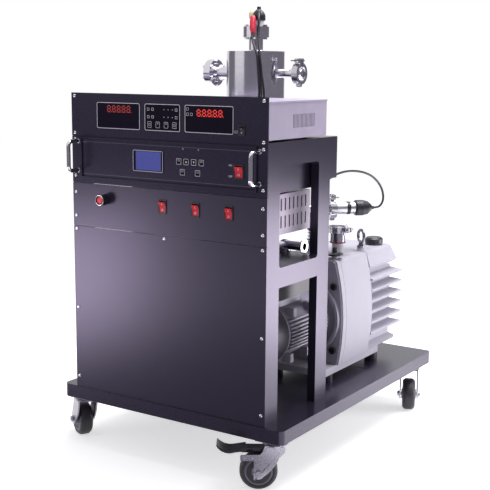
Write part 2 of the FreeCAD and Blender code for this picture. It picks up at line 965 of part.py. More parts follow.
def panel_blank(label, bottom, top):
    panel = new_body(label)
    prism(panel, "XZ", 0, S.panel_sheet, rect(0, S.rack_width, bottom, top))
    return panel


def lower_front_panel():
    panel = panel_blank("lower_front_panel", 0, S.lower_panel_top)
    node(panel, "lower_front_panel")


def control_panel():
    panel = panel_blank("control_panel", control_bottom, S.control_panel_top)
    holes = []
    for x in (fore_switch_x, bake_switch_x, vent_switch_x):
        holes.append(switch_hole(x, S.switch_row, S.switch_width, S.switch_height))
    holes.append(Circle(S.button_x, S.button_z, S.button_barrel - 1))
    prism(panel, "XZ", 0, S.panel_sheet, *holes, remove=True)
    node(panel, "control_panel")


def switch_hole(x, z, width, height):
    half = width / 2 - 1
    rise = height / 2 - 1
    return rect(x - half, x + half, z - rise, z + rise)


def controller_front_panel():
    high = S.controller_panel_top - S.panel_gap
    panel = panel_blank("controller_front_panel", controller_bottom, high)
    left = S.bezel_left
    right = S.rack_width - S.bezel_left + 2
    low = controller_bottom + 10
    rim = S.bezel_rim
    prism(panel, "XZ", -S.bezel_lip, 0, rect(left, right, low, high),
          rect(left + rim, right - rim, low + rim, high - rim))
    prism(panel, "XZ", 0, S.panel_sheet,
          switch_hole(controller_switch_x, S.controller_switch_z,
                      S.controller_switch_width, S.controller_switch_height), remove=True)
    node(panel, "controller_front_panel")


def gauge_front_panel():
    panel = panel_blank("gauge_front_panel", S.controller_panel_top, S.gauge_panel_top)
    prism(panel, "XZ", 0, S.panel_sheet,
          switch_hole(gauge_switch_x, S.gauge_switch_z, S.gauge_switch_width,
                      S.gauge_switch_height), remove=True)
    node(panel, "gauge_front_panel")


WINDOWS = (
    (S.left_window_offset, S.left_window_width),
    (S.middle_window_offset, S.middle_window_width),
    (S.right_window_offset, S.right_window_width),
)
CONTROLLER_KEYS = ((37.3, 502.5), (55.0, 502.5), (73.2, 502.5), (91.5, 502.5), (46.2, 482.0),
                   (82.5, 482.0))
GAUGE_KEYS = (-34.0, -13.5, 7.0, 27.4)


def key(offset, z):
    x = rack_middle + offset
    return rect(x - S.key_half, x + S.key_half, z - S.key_half, z + S.key_half)


def display_windows():
    """Windows and membrane keys that stand a little proud of the instrument panels."""
    windows = new_body("display_windows")
    skin = -S.window_skin
    frame_left = rack_middle + S.screen_frame_offset
    left = rack_middle + S.screen_offset
    screen = rect(left, left + S.screen_width, S.screen_bottom, S.screen_top)
    prism(windows, "XZ", skin * 2, 0,
          rounded(frame_left, frame_left + S.screen_frame_width, S.screen_frame_bottom,
                  S.screen_frame_top, S.window_corner), screen)
    prism(windows, "XZ", skin, 0, screen)
    for offset, width in WINDOWS:
        left = rack_middle + offset
        prism(windows, "XZ", skin, 0,
              rounded(left, left + width, S.window_bottom, S.window_top, S.window_corner))
    prism(windows, "XZ", skin, 0, *[key(offset, z) for offset, z in CONTROLLER_KEYS])
    prism(windows, "XZ", skin * 2, skin,
          *[key(offset, S.gauge_key_height) for offset in GAUGE_KEYS])
    node(windows, "display_windows")


def controller_handles():
    """Two bent bar handles, each with a foot at either end."""
    pieces = []
    bend = as_size(9)
    nip = bend * (1 - math.sqrt(0.5))
    low = S.handle_bottom + S.handle_radius
    high = S.handle_top - S.handle_radius
    out = S.handle_radius - S.handle_reach
    for x in (S.handle_inset, S.rack_width - S.handle_inset):
        handle = new_body("handle")
        path = new_sketch(handle, "YZ", x, "path")
        hold(path, draw_path(path, [
            (0, low), (out + bend, low), (out + nip, low + nip, out, low + bend),
            (out, high - bend), (out + nip, high - nip, out + bend, high), (0, high),
        ]))
        section = new_sketch(handle, "XZ", 0, "section")
        hold(section, draw_circle(section, Circle(x, low, S.handle_radius)))
        pipe = handle.newObject("PartDesign::AdditivePipe", "Pipe")
        pipe.Profile = section
        pipe.Spine = path
        prism(handle, "XZ", -2, 0, Circle(x, low, S.handle_radius + 0.6),
              Circle(x, high, S.handle_radius + 0.6))
        pieces.append(handle)
    node(group(*pieces), "controller_handles")


# The instruments behind the panels

def controller_case():
    case = new_body("controller_case")
    left = S.controller_case_left
    right = S.rack_width - left
    wall = S.case_sheet
    bottom = controller_bottom + wall
    top = frame_top - S.frame_sheet - 2
    prism(case, "XZ", S.panel_sheet, controller_case_rear, rect(left, right, bottom, top))
    prism(case, "XZ", S.panel_sheet, controller_case_rear - wall,
          rect(left + wall, right - wall, bottom + wall, top - wall), remove=True)
    dot = prism(case, "YZ", left, right, Circle(S.case_dot_y, S.case_dot_z, S.case_dot_radius),
                remove=True)
    repeat(case, dot, "Z", S.case_dot_pitch, as_size(7))
    node(case, "controller_case")


def gauge_case():
    """The gauge unit's folded case, under a lid with a narrow lip."""
    case = new_body("gauge_case")
    inset = S.gauge_case_inset
    right = S.rack_width - inset
    bottom = S.gauge_case_bottom
    top = S.gauge_case_top
    front = S.panel_sheet
    rear = gauge_case_rear
    wall = S.gauge_case_sheet
    lid = top - S.case_lid
    prism(case, "XZ", front, rear, rect(inset, right, bottom, lid))
    prism(case, "XZ", front, rear - wall,
          rect(inset + wall, right - wall, bottom + wall, lid - wall), remove=True)
    prism(case, "XY", lid, top, rect(inset - 1, right + 1, front, rear + 1))
    slit = prism(case, "YZ", 0, S.rack_width,
                 rect(S.case_slit_start, S.case_slit_start + S.case_slit_width,
                      S.case_slit_low, S.case_slit_high), remove=True)
    repeat(case, slit, "Y", S.case_slit_pitch, as_size(17))
    feet = []
    for x in (S.case_foot_left, S.rack_width - S.case_foot_right):
        for y in (S.case_foot_front, rear - S.case_foot_rear):
            feet.append(Circle(x, y, S.case_foot_radius))
    prism(case, "XY", plate_top, bottom, *feet)
    node(case, "gauge_case")


def power_supply_box():
    """The vented supply box, on a folded bracket that stands on the shelf."""
    supply = new_body("power_supply_box")
    wall = S.case_sheet
    left, right = S.supply_left, supply_right
    front, rear = S.supply_front, supply_rear
    bottom, top = S.supply_bottom, S.supply_top
    prism(supply, "YZ", left, right, rect(front, rear, bottom, top))
    prism(supply, "YZ", left + wall, right - wall,
          rect(front + wall, rear - wall, bottom + wall, top - wall), remove=True)
    start = front + 12
    end = start + S.supply_slit_width
    rows = []
    for rise in (S.supply_slit_low, S.supply_slit_high):
        rows.append(rect(start, end, bottom + rise, bottom + rise + S.supply_slit_rise))
    slit = prism(supply, "YZ", left, right, *rows, remove=True)
    repeat(supply, slit, "Y", S.supply_slit_pitch, as_size(11))
    foot_right = valve_x - S.supply_foot_gap
    prism(supply, "XZ", rear - 3, rear, rect(left, foot_right, shelf_top, bottom))
    prism(supply, "XY", shelf_top, shelf_top + 3, rect(left, foot_right, rear - 24, rear - 3))
    node(supply, "power_supply_box")


# Small flange couplings: local Z is the pipe's axis and the joint face is at zero

def coupling_half(bore, tube_radius, turn, base):
    """One flange of a coupling, its rim at the joint face and its cone running back."""
    rim = S.coupling_rim
    neck = S.coupling_neck
    flange = new_body("flange")
    spin(flange, (bore, -neck), (tube_radius, -neck), (tube_radius + 1, -neck + 1),
         (S.coupling_radius, -rim), (S.coupling_radius, -0.4), (bore, -0.4))
    placed(flange, base, turn)
    return flange


def clamp(base, turn):
    """A hinged clamp in two halves, its bolt and wing nut at local +X."""
    half = S.clamp_width / 2
    seat = S.coupling_radius + S.clamp_play
    ring = tube(S.clamp_radius, S.clamp_radius - seat, S.clamp_width, (0, 0, -half))
    gap = S.clamp_split / 2
    near = S.clamp_radius - 2.5
    reach = S.clamp_radius + 9
    split = block(0, reach + 1, -gap, gap, -half - 1, half + 1)
    bolt_x = S.clamp_radius + 4.2
    nut_face = -gap - 9
    ears = [block(near, reach, gap, gap + 7, -5, 5), block(near, reach, -gap - 7, -gap, -5, 5)]
    wings = []
    for side in (-1, 1):
        wing = block(-1.2, 1.2, 0, 8, 0, 12.5)
        wings.append(placed(wing, (bolt_x - 1.2, nut_face, 0),
                            Rotation(Vector(1, 0, 0), 90 + side * 62)))
    shell = cut(fuse(ring, *ears), split)
    hinge = prismatic(6, 4, 11, (-S.clamp_radius - 1.5, 0, -5.5))
    bolt = prismatic(6, 2.4, 38, (bolt_x, -19, 0), TO_REAR)
    head = prismatic(6, 4.5, 4, (bolt_x, gap + 7, 0), TO_REAR)
    hub = prismatic(8, 4.4, 6, (bolt_x, -gap - 7, 0), TO_FRONT)
    return placed(fuse(shell, hinge, bolt, head, hub, *wings), base, turn)


def chamber_body():
    """The polished chamber with its three port tubes and their flanges."""
    shell = new_body("chamber_shell")
    outer = S.chamber_radius
    wall = S.chamber_wall
    low = S.chamber_bottom
    high = S.chamber_top
    spin(shell, (outer - wall - 8, low), (chamber_flange_radius, low),
         (chamber_flange_radius, low + S.chamber_flange), (outer, low + S.chamber_flange),
         (outer, high), (0, high), (0, high - wall), (outer - wall, high - wall),
         (outer - wall, low + S.chamber_flange), (outer - wall - 8, low + S.chamber_flange))
    x, y = stack
    placed(shell, (x, y, 0))
    z = S.port_height
    left_length = x - left_port_end
    right_length = right_port_end - x
    left_tube = rod(S.left_port_radius, left_length, (x, y, z), TO_LEFT)
    left_flange = rod(S.flange_pair_radius, S.flange_pair / 2,
                      (left_port_end, y, z), TO_LEFT)
    right_tube = rod(S.right_port_radius, right_length - 6, (x, y, z), TO_RIGHT)
    top_tube = rod(S.top_port_radius, S.top_flange_bottom - high + wall, (x, y, high - wall))
    weld = cone(S.top_port_radius + 3, S.top_port_radius, 3, (x, y, high))
    half_flange = (S.top_flange_top - S.top_flange_bottom) / 2
    top_flange = rod(S.top_flange_radius, half_flange, (x, y, S.top_flange_bottom))
    core = rod(outer - wall / 2, high - low - S.chamber_flange - wall,
               (x, y, low + S.chamber_flange))
    bore = S.tube_wall
    end = left_port_end - S.flange_pair
    bores = (
        rod(S.left_port_radius - bore, x - end, (x, y, z), TO_LEFT),
        rod(S.right_port_radius - bore, right_length, (x, y, z), TO_RIGHT),
        rod(S.top_port_radius - bore, 60, (x, y, high - wall - 1)),
    )
    tubes = cut(fuse(left_tube, left_flange, right_tube, top_tube, weld, top_flange), core)
    coupling = coupling_half(S.right_port_radius - bore, S.right_port_radius, TO_RIGHT,
                             (right_port_end, y, z))
    node(fuse(cut(fuse(shell, tubes), *bores), coupling), "chamber_body")


def port_blanks():
    """The blank flanges that close the two side ports, with the left one's bolts."""
    x, y = stack
    z = S.port_height
    seat = left_port_end - S.flange_pair / 2
    blank = rod(S.flange_pair_radius, S.flange_pair / 2, (seat, y, z), TO_LEFT)
    dish = rod(S.left_port_radius + 2, 2, (left_port_end - S.flange_pair, y, z), TO_RIGHT)
    pieces = [cut(blank, dish)]
    pitch = S.flange_pair_radius - 6
    for index in range(6):
        angle = 60 * index + 30
        y_bolt = y + pitch * cosine(angle)
        z_bolt = z + pitch * sine(angle)
        pieces.append(prismatic(6, 5.2, 4.5, (left_port_end - S.flange_pair, y_bolt, z_bolt),
                                TO_LEFT))
        pieces.append(prismatic(6, 5.2, 4.5, (left_port_end, y_bolt, z_bolt), TO_RIGHT))
    plug = coupling_half(as_size(0), as_size(7), TO_LEFT, (right_port_end, y, z))
    pieces.append(plug)
    node(group(*pieces), "port_blanks")


def kf_clamps():
    """Hinged clamps on the side port, the foreline, the bellows and the exhaust."""
    x, y = stack
    pieces = [clamp((right_port_end, y, S.port_height), Rotation(Vector(0, 1, 0), -90))]
    along = []
    for reach in (S.foreline_start, S.foreline_end):
        along.append(clamp((reach, 0, 0), Rotation(Vector(0, 1, 0), -90)))
    pieces.append(swung(group(*along), (x, y, S.foreline_height), S.foreline_angle))
    branch_x, branch_y = branch_place()
    sideways = Rotation(Vector(0, 0, 1), 45)
    pieces.append(clamp((branch_x, branch_y, S.branch_end), sideways))
    pieces.append(clamp((branch_x, branch_y, S.bellows_end), sideways))
    pieces.append(clamp((exhaust_x, exhaust_y, S.exhaust_top), UP))
    node(group(*pieces), "kf_clamps")


def branch_place():
    """Where the foreline's downward branch stands, above the rotary pump's inlet."""
    x = stack_x + S.foreline_branch * cosine(S.foreline_angle)
    y = stack_y + S.foreline_branch * sine(S.foreline_angle)
    return x, y


def vent_valve():
    """The angle valve on the shelf, with an elbow and an open flange to the right."""
    x, y, z = valve_x, valve_y, valve_z
    end = x + S.valve_reach
    outer = S.valve_bore + S.tube_wall
    foot = rod(12, 6, (x, y, shelf_top))
    column = rod(outer, z - shelf_top - 6, (x, y, shelf_top + 6))
    ball = doc.addObject("Part::Sphere", "sphere")
    bind(ball, "Radius", 12)
    placed(ball, (x, y, z))
    run = rod(outer, S.valve_reach - 6, (x, y, z), TO_RIGHT)
    bore = rod(S.valve_bore, S.valve_reach + 1, (x, y, z), TO_RIGHT)
    arm = rod(8, S.valve_arm, (x, y, z), TO_FRONT)
    knob = rod(S.valve_knob_radius, 16, (x, y - S.valve_arm, z), TO_FRONT)
    flange = coupling_half(S.valve_bore, outer, TO_RIGHT, (end, y, z))
    node(fuse(cut(fuse(foot, column, ball, run, arm, knob), bore), flange), "vent_valve")


# The ion gauge on top

def ion_gauge_head():
    x, y = stack
    half = (S.top_flange_top - S.top_flange_bottom) / 2
    flange = rod(S.top_flange_radius, half, (x, y, S.top_flange_top - half))
    collar = rod(10.8, 13, (x + S.gauge_cap_offset, y, S.top_flange_top))
    pin = rod(4, 18, (x - 13, y + 2, S.top_flange_top))
    pieces = [fuse(flange, collar, pin)]
    pitch = S.top_flange_radius - 5.5
    for index in range(6):
        angle = 60 * index
        x_bolt = x + pitch * cosine(angle)
        y_bolt = y + pitch * sine(angle)
        pieces.append(prismatic(6, 4.6, 4, (x_bolt, y_bolt, S.top_flange_top)))
        pieces.append(prismatic(6, 4.6, 4, (x_bolt, y_bolt, S.top_flange_bottom), DOWN))
    node(group(*pieces), "ion_gauge_head")


CAP_BOTTOM = S.top_flange_top + 13


# The turbo pump

def turbo_housing():
    housing = new_body("turbo_shell")
    outer = S.turbo_radius
    top = S.chamber_bottom
    under = top - S.turbo_flange
    low = S.turbo_bottom
    bore = S.turbo_bore
    shaft = S.rotor_shaft + S.bearing_fit
    spin(housing, (bore, top), (chamber_flange_radius, top), (chamber_flange_radius, under),
         (outer, under), (outer, low + 110), (outer + 3, low + 104), (outer + 3, low + 92),
         (outer - 5, low + 86), (outer - 5, low + 18), (outer - 15, low), (shaft + 4, low),
         (shaft + 4, low + 6), (shaft, low + 6), (shaft, low + 72), (bore, low + 72))
    placed(housing, (stack_x, stack_y, 0))
    tube_start = outer - 12
    port = rod(S.foreline_radius, S.foreline_start - tube_start - 6, (tube_start, 0, 0),
               TO_RIGHT)
    port_bore = rod(S.foreline_radius - S.tube_wall, S.foreline_start - tube_start,
                    (tube_start + 3, 0, 0), TO_RIGHT)
    flange = coupling_half(S.foreline_radius - S.tube_wall, S.foreline_radius, TO_RIGHT,
                           (S.foreline_start, 0, 0))
    port_group = swung(fuse(cut(port, port_bore), flange),
                       (stack_x, stack_y, S.foreline_height), S.foreline_angle)
    node(fuse(housing, port_group), "turbo_housing")


def turbo_rotor():
    """The bladed rotor: a hub with stacked discs on a slim shaft."""
    rotor = new_body("turbo_rotor")
    low = S.turbo_bottom
    top = S.chamber_bottom - 6
    shaft = S.rotor_shaft
    disc = S.rotor_radius
    items = [(0, low + 7), (shaft, low + 7), (shaft, low + 76), (20, low + 76)]
    level = low + 84
    for index in range(4):
        items += [(20, level), (disc, level), (disc, level + 10), (20, level + 10)]
        level = level + 26
    items += [(14, top), (0, top)]
    spin(rotor, *items)
    placed(rotor, (stack_x, stack_y, 0))
    node(rotor, "turbo_rotor")


# The foreline and its gauge: local X runs out from the turbo pump's axis

def foreline_tee():
    radius = S.foreline_radius
    bore = radius - S.tube_wall
    start, end = S.foreline_start, S.foreline_end
    drop = S.foreline_height - S.branch_end
    run = rod(radius, end - start - 12, (start + 6, 0, 0), TO_RIGHT)
    branch = rod(radius, drop - 6, (S.foreline_branch, 0, 0), DOWN)
    run_bore = rod(bore, end - start, (start, 0, 0), TO_RIGHT)
    branch_bore = rod(bore, drop, (S.foreline_branch, 0, 0), DOWN)
    pieces = [cut(fuse(run, branch), run_bore, branch_bore)]
    pieces.append(coupling_half(bore, radius, TO_LEFT, (start, 0, 0)))
    pieces.append(coupling_half(bore, radius, TO_RIGHT, (end, 0, 0)))
    pieces.append(coupling_half(bore, radius, DOWN, (S.foreline_branch, 0, -drop)))
    tee = fuse(*pieces)
    swung(tee, (stack_x, stack_y, S.foreline_height), S.foreline_angle)
    node(tee, "foreline_tee")


def foreline_bellows():
    """Short metal bellows from the tee down to the rotary pump's inlet."""
    bellows = new_body("foreline_bellows")
    radius = S.foreline_radius
    bore = radius - S.tube_wall
    wide = S.bellows_radius
    top = S.branch_end
    low = S.bellows_end
    rim = S.coupling_rim
    neck = S.coupling_neck
    outer = S.coupling_radius
    items = [(bore, low + 0.4), (outer, low + 0.4), (outer, low + rim), (radius + 1, low + neck)]
    length = top - low - 2 * neck
    folds = 4
    pitch = length / folds
    for index in range(folds):
        level = low + neck + pitch * index
        items += [(wide, level + pitch * 0.5), (radius + 1, level + pitch * 0.9)]
    items += [(radius + 1, top - neck), (outer, top - rim), (outer, top - 0.4),
              (bore, top - 0.4)]
    spin(bellows, *items)
    x, y = branch_place()
    placed(bellows, (x, y, 0))
    node(bellows, "foreline_bellows")


def pirani_gauge():
    """The gauge tube on the end of the tee: a bright barrel with a dark band."""
    gauge = new_body("pirani_barrel")
    start = S.foreline_end
    radius = S.pirani_radius
    end = S.pirani_end - start
    spin(gauge, (0, 0.4), (S.coupling_radius, 0.4), (S.coupling_radius, S.coupling_rim),
         (9, S.coupling_neck), (radius, S.coupling_neck + 2), (radius, 33), (radius + 0.5, 33),
         (radius + 0.5, 41.5), (radius, 41.5), (radius, end), (0, end))
    placed(gauge, (start, 0, 0), TO_RIGHT)
    turned = group(gauge)
    swung(turned, (stack_x, stack_y, S.foreline_height), S.foreline_angle)
    node(turned, "pirani_gauge")


def pirani_plug():
    plug = new_body("pirani_hood")
    radius = S.pirani_plug_radius
    length = S.pirani_plug_end - S.pirani_end
    spin(plug, (0, 0), (radius - 2, 0), (radius, 3), (radius, 18),
         (radius - 3, 31), (7, 40), (4, length - 4), (4, length), (0, length))
    placed(plug, (S.pirani_end, 0, 0), TO_RIGHT)
    turned = group(plug)
    swung(turned, (stack_x, stack_y, S.foreline_height), S.foreline_angle)
    node(turned, "pirani_plug")


# The rotary vane pump

def pump_outline(grow, low, high):
    """The pump's front outline: narrow at the top, full at the waist."""
    top = S.pump_top_half + grow
    corner = S.pump_corner
    nip = corner * (1 - math.sqrt(0.5))
    return mirrored(pump_x, [
        (S.pump_base_half + grow, low),
        (S.pump_waist_half + grow, S.waist_height, top, high - corner),
        (top - nip, high - nip, top - corner, high),
    ])


def ridged_rear():
    """The ridged rear: ridges all round a core, met at the corners by two crossed prisms."""
    x = pump_x
    depth = S.ridge_depth
    edge = S.ridge_edge / 2
    low = S.pump_bottom
    top = S.pump_top
    core = S.pump_waist_half - depth
    last = S.ridge_top - S.ridge_pitch * (S.ridge_count - 1)
    side = new_body("rear_sides")
    half = S.pump_top_half
    corner = S.pump_corner
    nip = corner * (1 - math.sqrt(0.5))
    right = [(core, low), (core, top - 46), (half + 6, top - 40), (half + 9, top - 35),
             (half + 1, top - corner), (half + 1 - nip, top - nip, half - corner, top)]
    prism(side, "XZ", pump_shoulder, pump_rear, mirrored(x, right))
    ridge = [(core - 2, last - 10), (S.pump_waist_half, last - edge),
             (S.pump_waist_half, last + edge), (core - 2, last + 10)]
    pad = prism(side, "XZ", pump_shoulder, pump_rear, mirrored(x, ridge))
    repeat(side, pad, "Z", S.ridge_pitch, S.ridge_count)
    skirt = [(core - 2, low), (S.pump_base_half - 4, low), (S.pump_base_half, low + 8),
             (core - 2, low + 18)]
    prism(side, "XZ", pump_shoulder, pump_rear, mirrored(x, skirt))
    back = new_body("rear_back")
    rear = pump_rear
    front = pump_shoulder
    wide = S.pump_waist_half + 2
    prism(back, "YZ", x - wide, x + wide, [
        (front, low), (rear - depth, low), (rear - depth, top - 50), (rear - 43, top - 46),
        (rear - 20, top - 40), (rear - 17, top - 35), (rear - 33, top), (front, top),
    ])
    pad = prism(back, "YZ", x - wide, x + wide, [
        (front, last - 10), (rear - depth - 2, last - 10), (rear, last - edge),
        (rear, last + edge), (rear - depth - 2, last + 10), (front, last + 10),
    ])
    repeat(back, pad, "Z", S.ridge_pitch, S.ridge_count)
    prism(back, "YZ", x - wide, x + wide, [
        (front, low), (rear - 12, low), (rear - 10, low + 8), (rear - depth - 2, low + 18),
        (front, low + 18),
    ])
    ridged = doc.addObject("Part::MultiCommon", "ridged_rear")
    ridged.Shapes = [side, back]
    return ridged


def mirrored(x, half):
    """A closed loop from its right half, listed upward, about the upright line at x."""
    right = []
    for item in half:
        end = (x + item[-2], item[-1])
        right.append((x + item[0], item[1]) + end if len(item) == 4 else end)
    left = [(x - half[-1][-2], half[-1][-1])]
    for before, item in zip(half[-2::-1], half[:0:-1]):
        end = (x - before[-2], before[-1])
        left.append((x - item[0], item[1]) + end if len(item) == 4 else end)
    return right + left


def rv_pump_body():
    """The oil case: a smooth barrel in front and a ridged cooling rear, on its base flange."""
    x = pump_x
    barrel = new_body("pump_barrel")
    front = pump_front
    seam = front + S.pump_rim
    prism(barrel, "XZ", front, seam - 1, pump_outline(0, S.pump_bottom, S.pump_top))
    prism(barrel, "XZ", seam - 1, seam, pump_outline(-1.5, S.pump_bottom, S.pump_top - 1.5))
    prism(barrel, "XZ", seam, pump_shoulder, pump_outline(0, S.pump_bottom, S.pump_top))
    ridged = ridged_rear()
    base = new_body("pump_base")
    low = S.foot_height
    prism(base, "XY", low, low + S.base_sheet,
          rounded(x - S.base_half, x + S.base_half, base_front, base_rear, as_size(8)))
    inlet_x, inlet_y = branch_place()
    bore = S.foreline_radius - S.tube_wall
    inlet = rod(11, S.bellows_end - S.pump_top - S.coupling_neck, (inlet_x, inlet_y, S.pump_top))
    flange = coupling_half(bore, as_size(10), UP, (inlet_x, inlet_y, S.bellows_end))
    exhaust = cone(13.5, 12.5, 26, (exhaust_x, exhaust_y, S.pump_top))
    eye_boss = cone(10, 8, 8, (eye_x, eye_y, S.pump_top))
    knob_boss = rod(7, 7, (ballast_x, ballast_y, S.pump_top))
    cap_boss = rod(15, 2, (oil_cap_x, oil_cap_y, S.pump_top))
    glass_boss = rod(24, 22, (x, pump_rear - 24, 100), TO_REAR)
    drain = rod(11, 22, (x - 45, pump_rear - 24, 58), TO_REAR)
    solid = fuse(barrel, ridged, base, inlet, flange, exhaust, eye_boss, knob_boss, cap_boss,
                 glass_boss, drain)
    shaft_bore = rod(S.shaft_radius + S.bearing_fit, 30, (x, front - 1, S.shaft_height),
                     TO_REAR)
    rotor_bore = rod(S.stator_bore, 100, (x, front + 24, S.shaft_height + 4), TO_REAR)
    inlet_bore = rod(bore, 40, (inlet_x, inlet_y, S.bellows_end - 30))
    exhaust_bore = rod(S.exhaust_bore, 46, (exhaust_x, exhaust_y, S.pump_top - 20))
    eye_hole = rod(4, 20, (eye_x, eye_y, S.pump_top - 8))
    knob_hole = rod(3.06, 20, (ballast_x, ballast_y, S.pump_top - 8))
    cap_hole = rod(10, 20, (oil_cap_x, oil_cap_y, S.pump_top - 14))
    node(cut(solid, shaft_bore, rotor_bore, inlet_bore, exhaust_bore, eye_hole, knob_hole,
             cap_hole), "rv_pump_body")


def rv_motor_bracket():
    """The grey front face with its round lip, and the lantern that carries the motor."""
    x, z = pump_x, S.shaft_height
    bracket = new_body("rv_motor_bracket")
    front = pump_front
    ring_front = front - S.ring_reach
    prism(bracket, "XZ", front - 4, front, pump_outline(-3, S.pump_bottom + 3, S.pump_top - 3),
          Circle(x, z, S.shaft_radius + 1))
    prism(bracket, "XZ", ring_front, front - 4, Circle(x, z, S.ring_radius - 2),
          Circle(x, z, S.ring_radius - S.ring_wall))
    prism(bracket, "XZ", motor_rear, front - 4, Circle(x, z, S.motor_radius - 4),
          Circle(x, z, S.motor_radius - 10))
    node(bracket, "rv_motor_bracket")


def rv_feet():
    feet = new_body("rv_feet")
    circles = []
    for side in (-1, 1):
        for y in (foot_front, foot_rear):
            circles.append(Circle(pump_x + side * S.foot_half, y, S.foot_radius))
    prism(feet, "XY", 0, S.foot_height, *circles)
    node(feet, "rv_feet")


def rv_lifting_eye():
    x, y = eye_x, eye_y
    base = S.pump_top + 8
    stem = rod(3.8, 18, (x, y, S.pump_top - 6))
    collar = rod(9, 4, (x, y, base))
    neck = cone(6, 4, 8, (x, y, base + 4))
    ring = new_body("eye_ring")
    wide = S.eye_ring_radius
    thick = S.eye_thickness
    flat = thick * (math.sqrt(2) - 1)
    spin(ring, (wide + thick, -flat), (wide + thick, flat), (wide + flat, thick),
         (wide - flat, thick), (wide - thick, flat), (wide - thick, -flat), (wide - flat, -thick),
         (wide + flat, -thick))
    placed(ring, (x, y, base + 26), Rotation(Vector(0, 0, 1), 55) * TO_RIGHT)
    node(fuse(stem, collar, neck, ring), "rv_lifting_eye")


def rv_exhaust_port():
    """The steel adapter on the exhaust boss: gasket, body and open flange on top."""
    x, y = exhaust_x, exhaust_y
    base = S.pump_top + 26
    gasket = rod(15, 3, (x, y, base))
    adapter = rod(16.5, S.exhaust_top - base - 10, (x, y, base + 3))
    bore = rod(S.exhaust_bore, 60, (x, y, base - 1))
    flange = coupling_half(S.exhaust_bore, as_size(10), UP, (x, y, S.exhaust_top))
    upper = coupling_half(S.exhaust_bore, as_size(10), DOWN, (x, y, S.exhaust_top))
    node(group(fuse(cut(fuse(gasket, adapter), bore), flange), upper), "rv_exhaust_port")


def gas_ballast_knob():
    knob = new_body("gas_ballast_knob")
    spin(knob, (0, -6), (3, -6), (3, 7.3), (18, 7.3), (18, 11), (8, 12), (6.5, 13), (6, 24),
         (0, 24))
    prism(knob, "XY", 24, 26, rect(-1.2, 1.2, -5, 5))
    placed(knob, (ballast_x, ballast_y, S.pump_top))
    node(knob, "gas_ballast_knob")


def oil_filler_cap():
    cap = new_body("oil_filler_cap")
    radius = S.oil_cap_radius
    spin(cap, (0, -10), (9.92, -10), (9.92, 2.3), (radius - 1, 2.3), (radius, 4), (radius, 14),
         (radius - 4, 18), (0, 18))
    grips = []
    for index in range(8):
        angle = 45 * index
        grips.append(Circle((radius + 1) * cosine(angle), (radius + 1) * sine(angle), 2.2))
    prism(cap, "XY", 2, 15, *grips, remove=True)
    placed(cap, (oil_cap_x, oil_cap_y, S.pump_top))
    node(cap, "oil_filler_cap")


# The motor

def motor_frame():
    """A round frame with level cooling fins on both sides and bolt lugs."""
    x, z = pump_x, S.shaft_height
    frame = new_body("motor_barrel")
    prism(frame, "XZ", motor_front, motor_rear, Circle(x, z, S.motor_radius))
    prism(frame, "XZ", motor_front, motor_front + 5, Circle(x, z, S.cowl_radius))
    half = S.motor_fin / 2
    for index in range(9):
        level = (index - 4) * S.motor_fin_pitch
        tip = root(S.motor_fin_radius * S.motor_fin_radius - level * level)
        foot = root(S.motor_radius * S.motor_radius - level * level) - 3
        low = z + level - half
        high = z + level + half
        prism(frame, "XZ", motor_front + 6, motor_rear - 6,
              rect(x + foot, x + tip, low, high), rect(x - tip, x - foot, low, high))
    lugs = []
    for side in (-1, 1):
        for reach, level in ((52, 45), (46, -54)):
            for y in (motor_front + 29, motor_front + 99):
                lugs.append((x + side * reach, y, z + level))
    for lug_x, lug_y, lug_z in lugs:
        prism(frame, "XZ", lug_y - 6, lug_y + 6,
              rect(lug_x - 10, lug_x + 10, lug_z - 9, lug_z + 9))
    end = motor_rear - 10
    bore_front = motor_front + 8
    chamber = rod(S.motor_bore, end - bore_front, (x, bore_front, z), TO_REAR)
    bearing = rod(S.shaft_radius + S.bearing_fit, 240, (x, motor_front - 2, z), TO_REAR)
    seat = block(x - 30, x + 30, motor_front + 14, motor_front + 104, z + S.motor_radius - 8,
                 S.terminal_bottom)
    node(cut(fuse(frame, seat), chamber, bearing), "motor_frame")


def motor_fan_cowl():
    """The smooth cowl over the fan, with a slotted intake at its front."""
    cowl = new_body("motor_fan_cowl")
    radius = S.cowl_radius
    wall = S.cowl_wall
    length = motor_front - cowl_front
    spin(cowl, (0, 0), (radius - 14, 0), (radius - 4, 4), (radius, 14), (radius, length),
         (radius - wall, length), (radius - wall, 15), (radius - 6, 6), (radius - 15, wall),
         (0, wall))
    slits = []
    for index in range(-4, 5):
        half = 38 - 2 * abs(index)
        slits.append(rect(-half, half, 9 * index - 2.5, 9 * index + 2.5))
    prism(cowl, "XY", 0, wall, *slits, remove=True)
    placed(cowl, (pump_x, cowl_front, S.shaft_height), TO_REAR)
    node(cowl, "motor_fan_cowl")


def motor_terminal_box():
    box = new_body("motor_terminal_box")
    x = pump_x
    half = S.terminal_half
    lip = S.terminal_lip
    front = motor_front - S.terminal_reach
    rear = front + S.terminal_length
    prism(box, "XY", S.terminal_bottom, S.terminal_seam,
          rounded(x - half, x + half, front, rear, as_size(6)))
    prism(box, "XY", S.terminal_seam, S.terminal_top,
          rounded(x - half - lip, x + half + lip, front - lip, rear + lip, as_size(6)))
    prism(box, "XZ", front - S.gland_reach, front,
          Circle(x + S.gland_offset, S.gland_height, S.gland_radius))
    node(box, "motor_terminal_box")


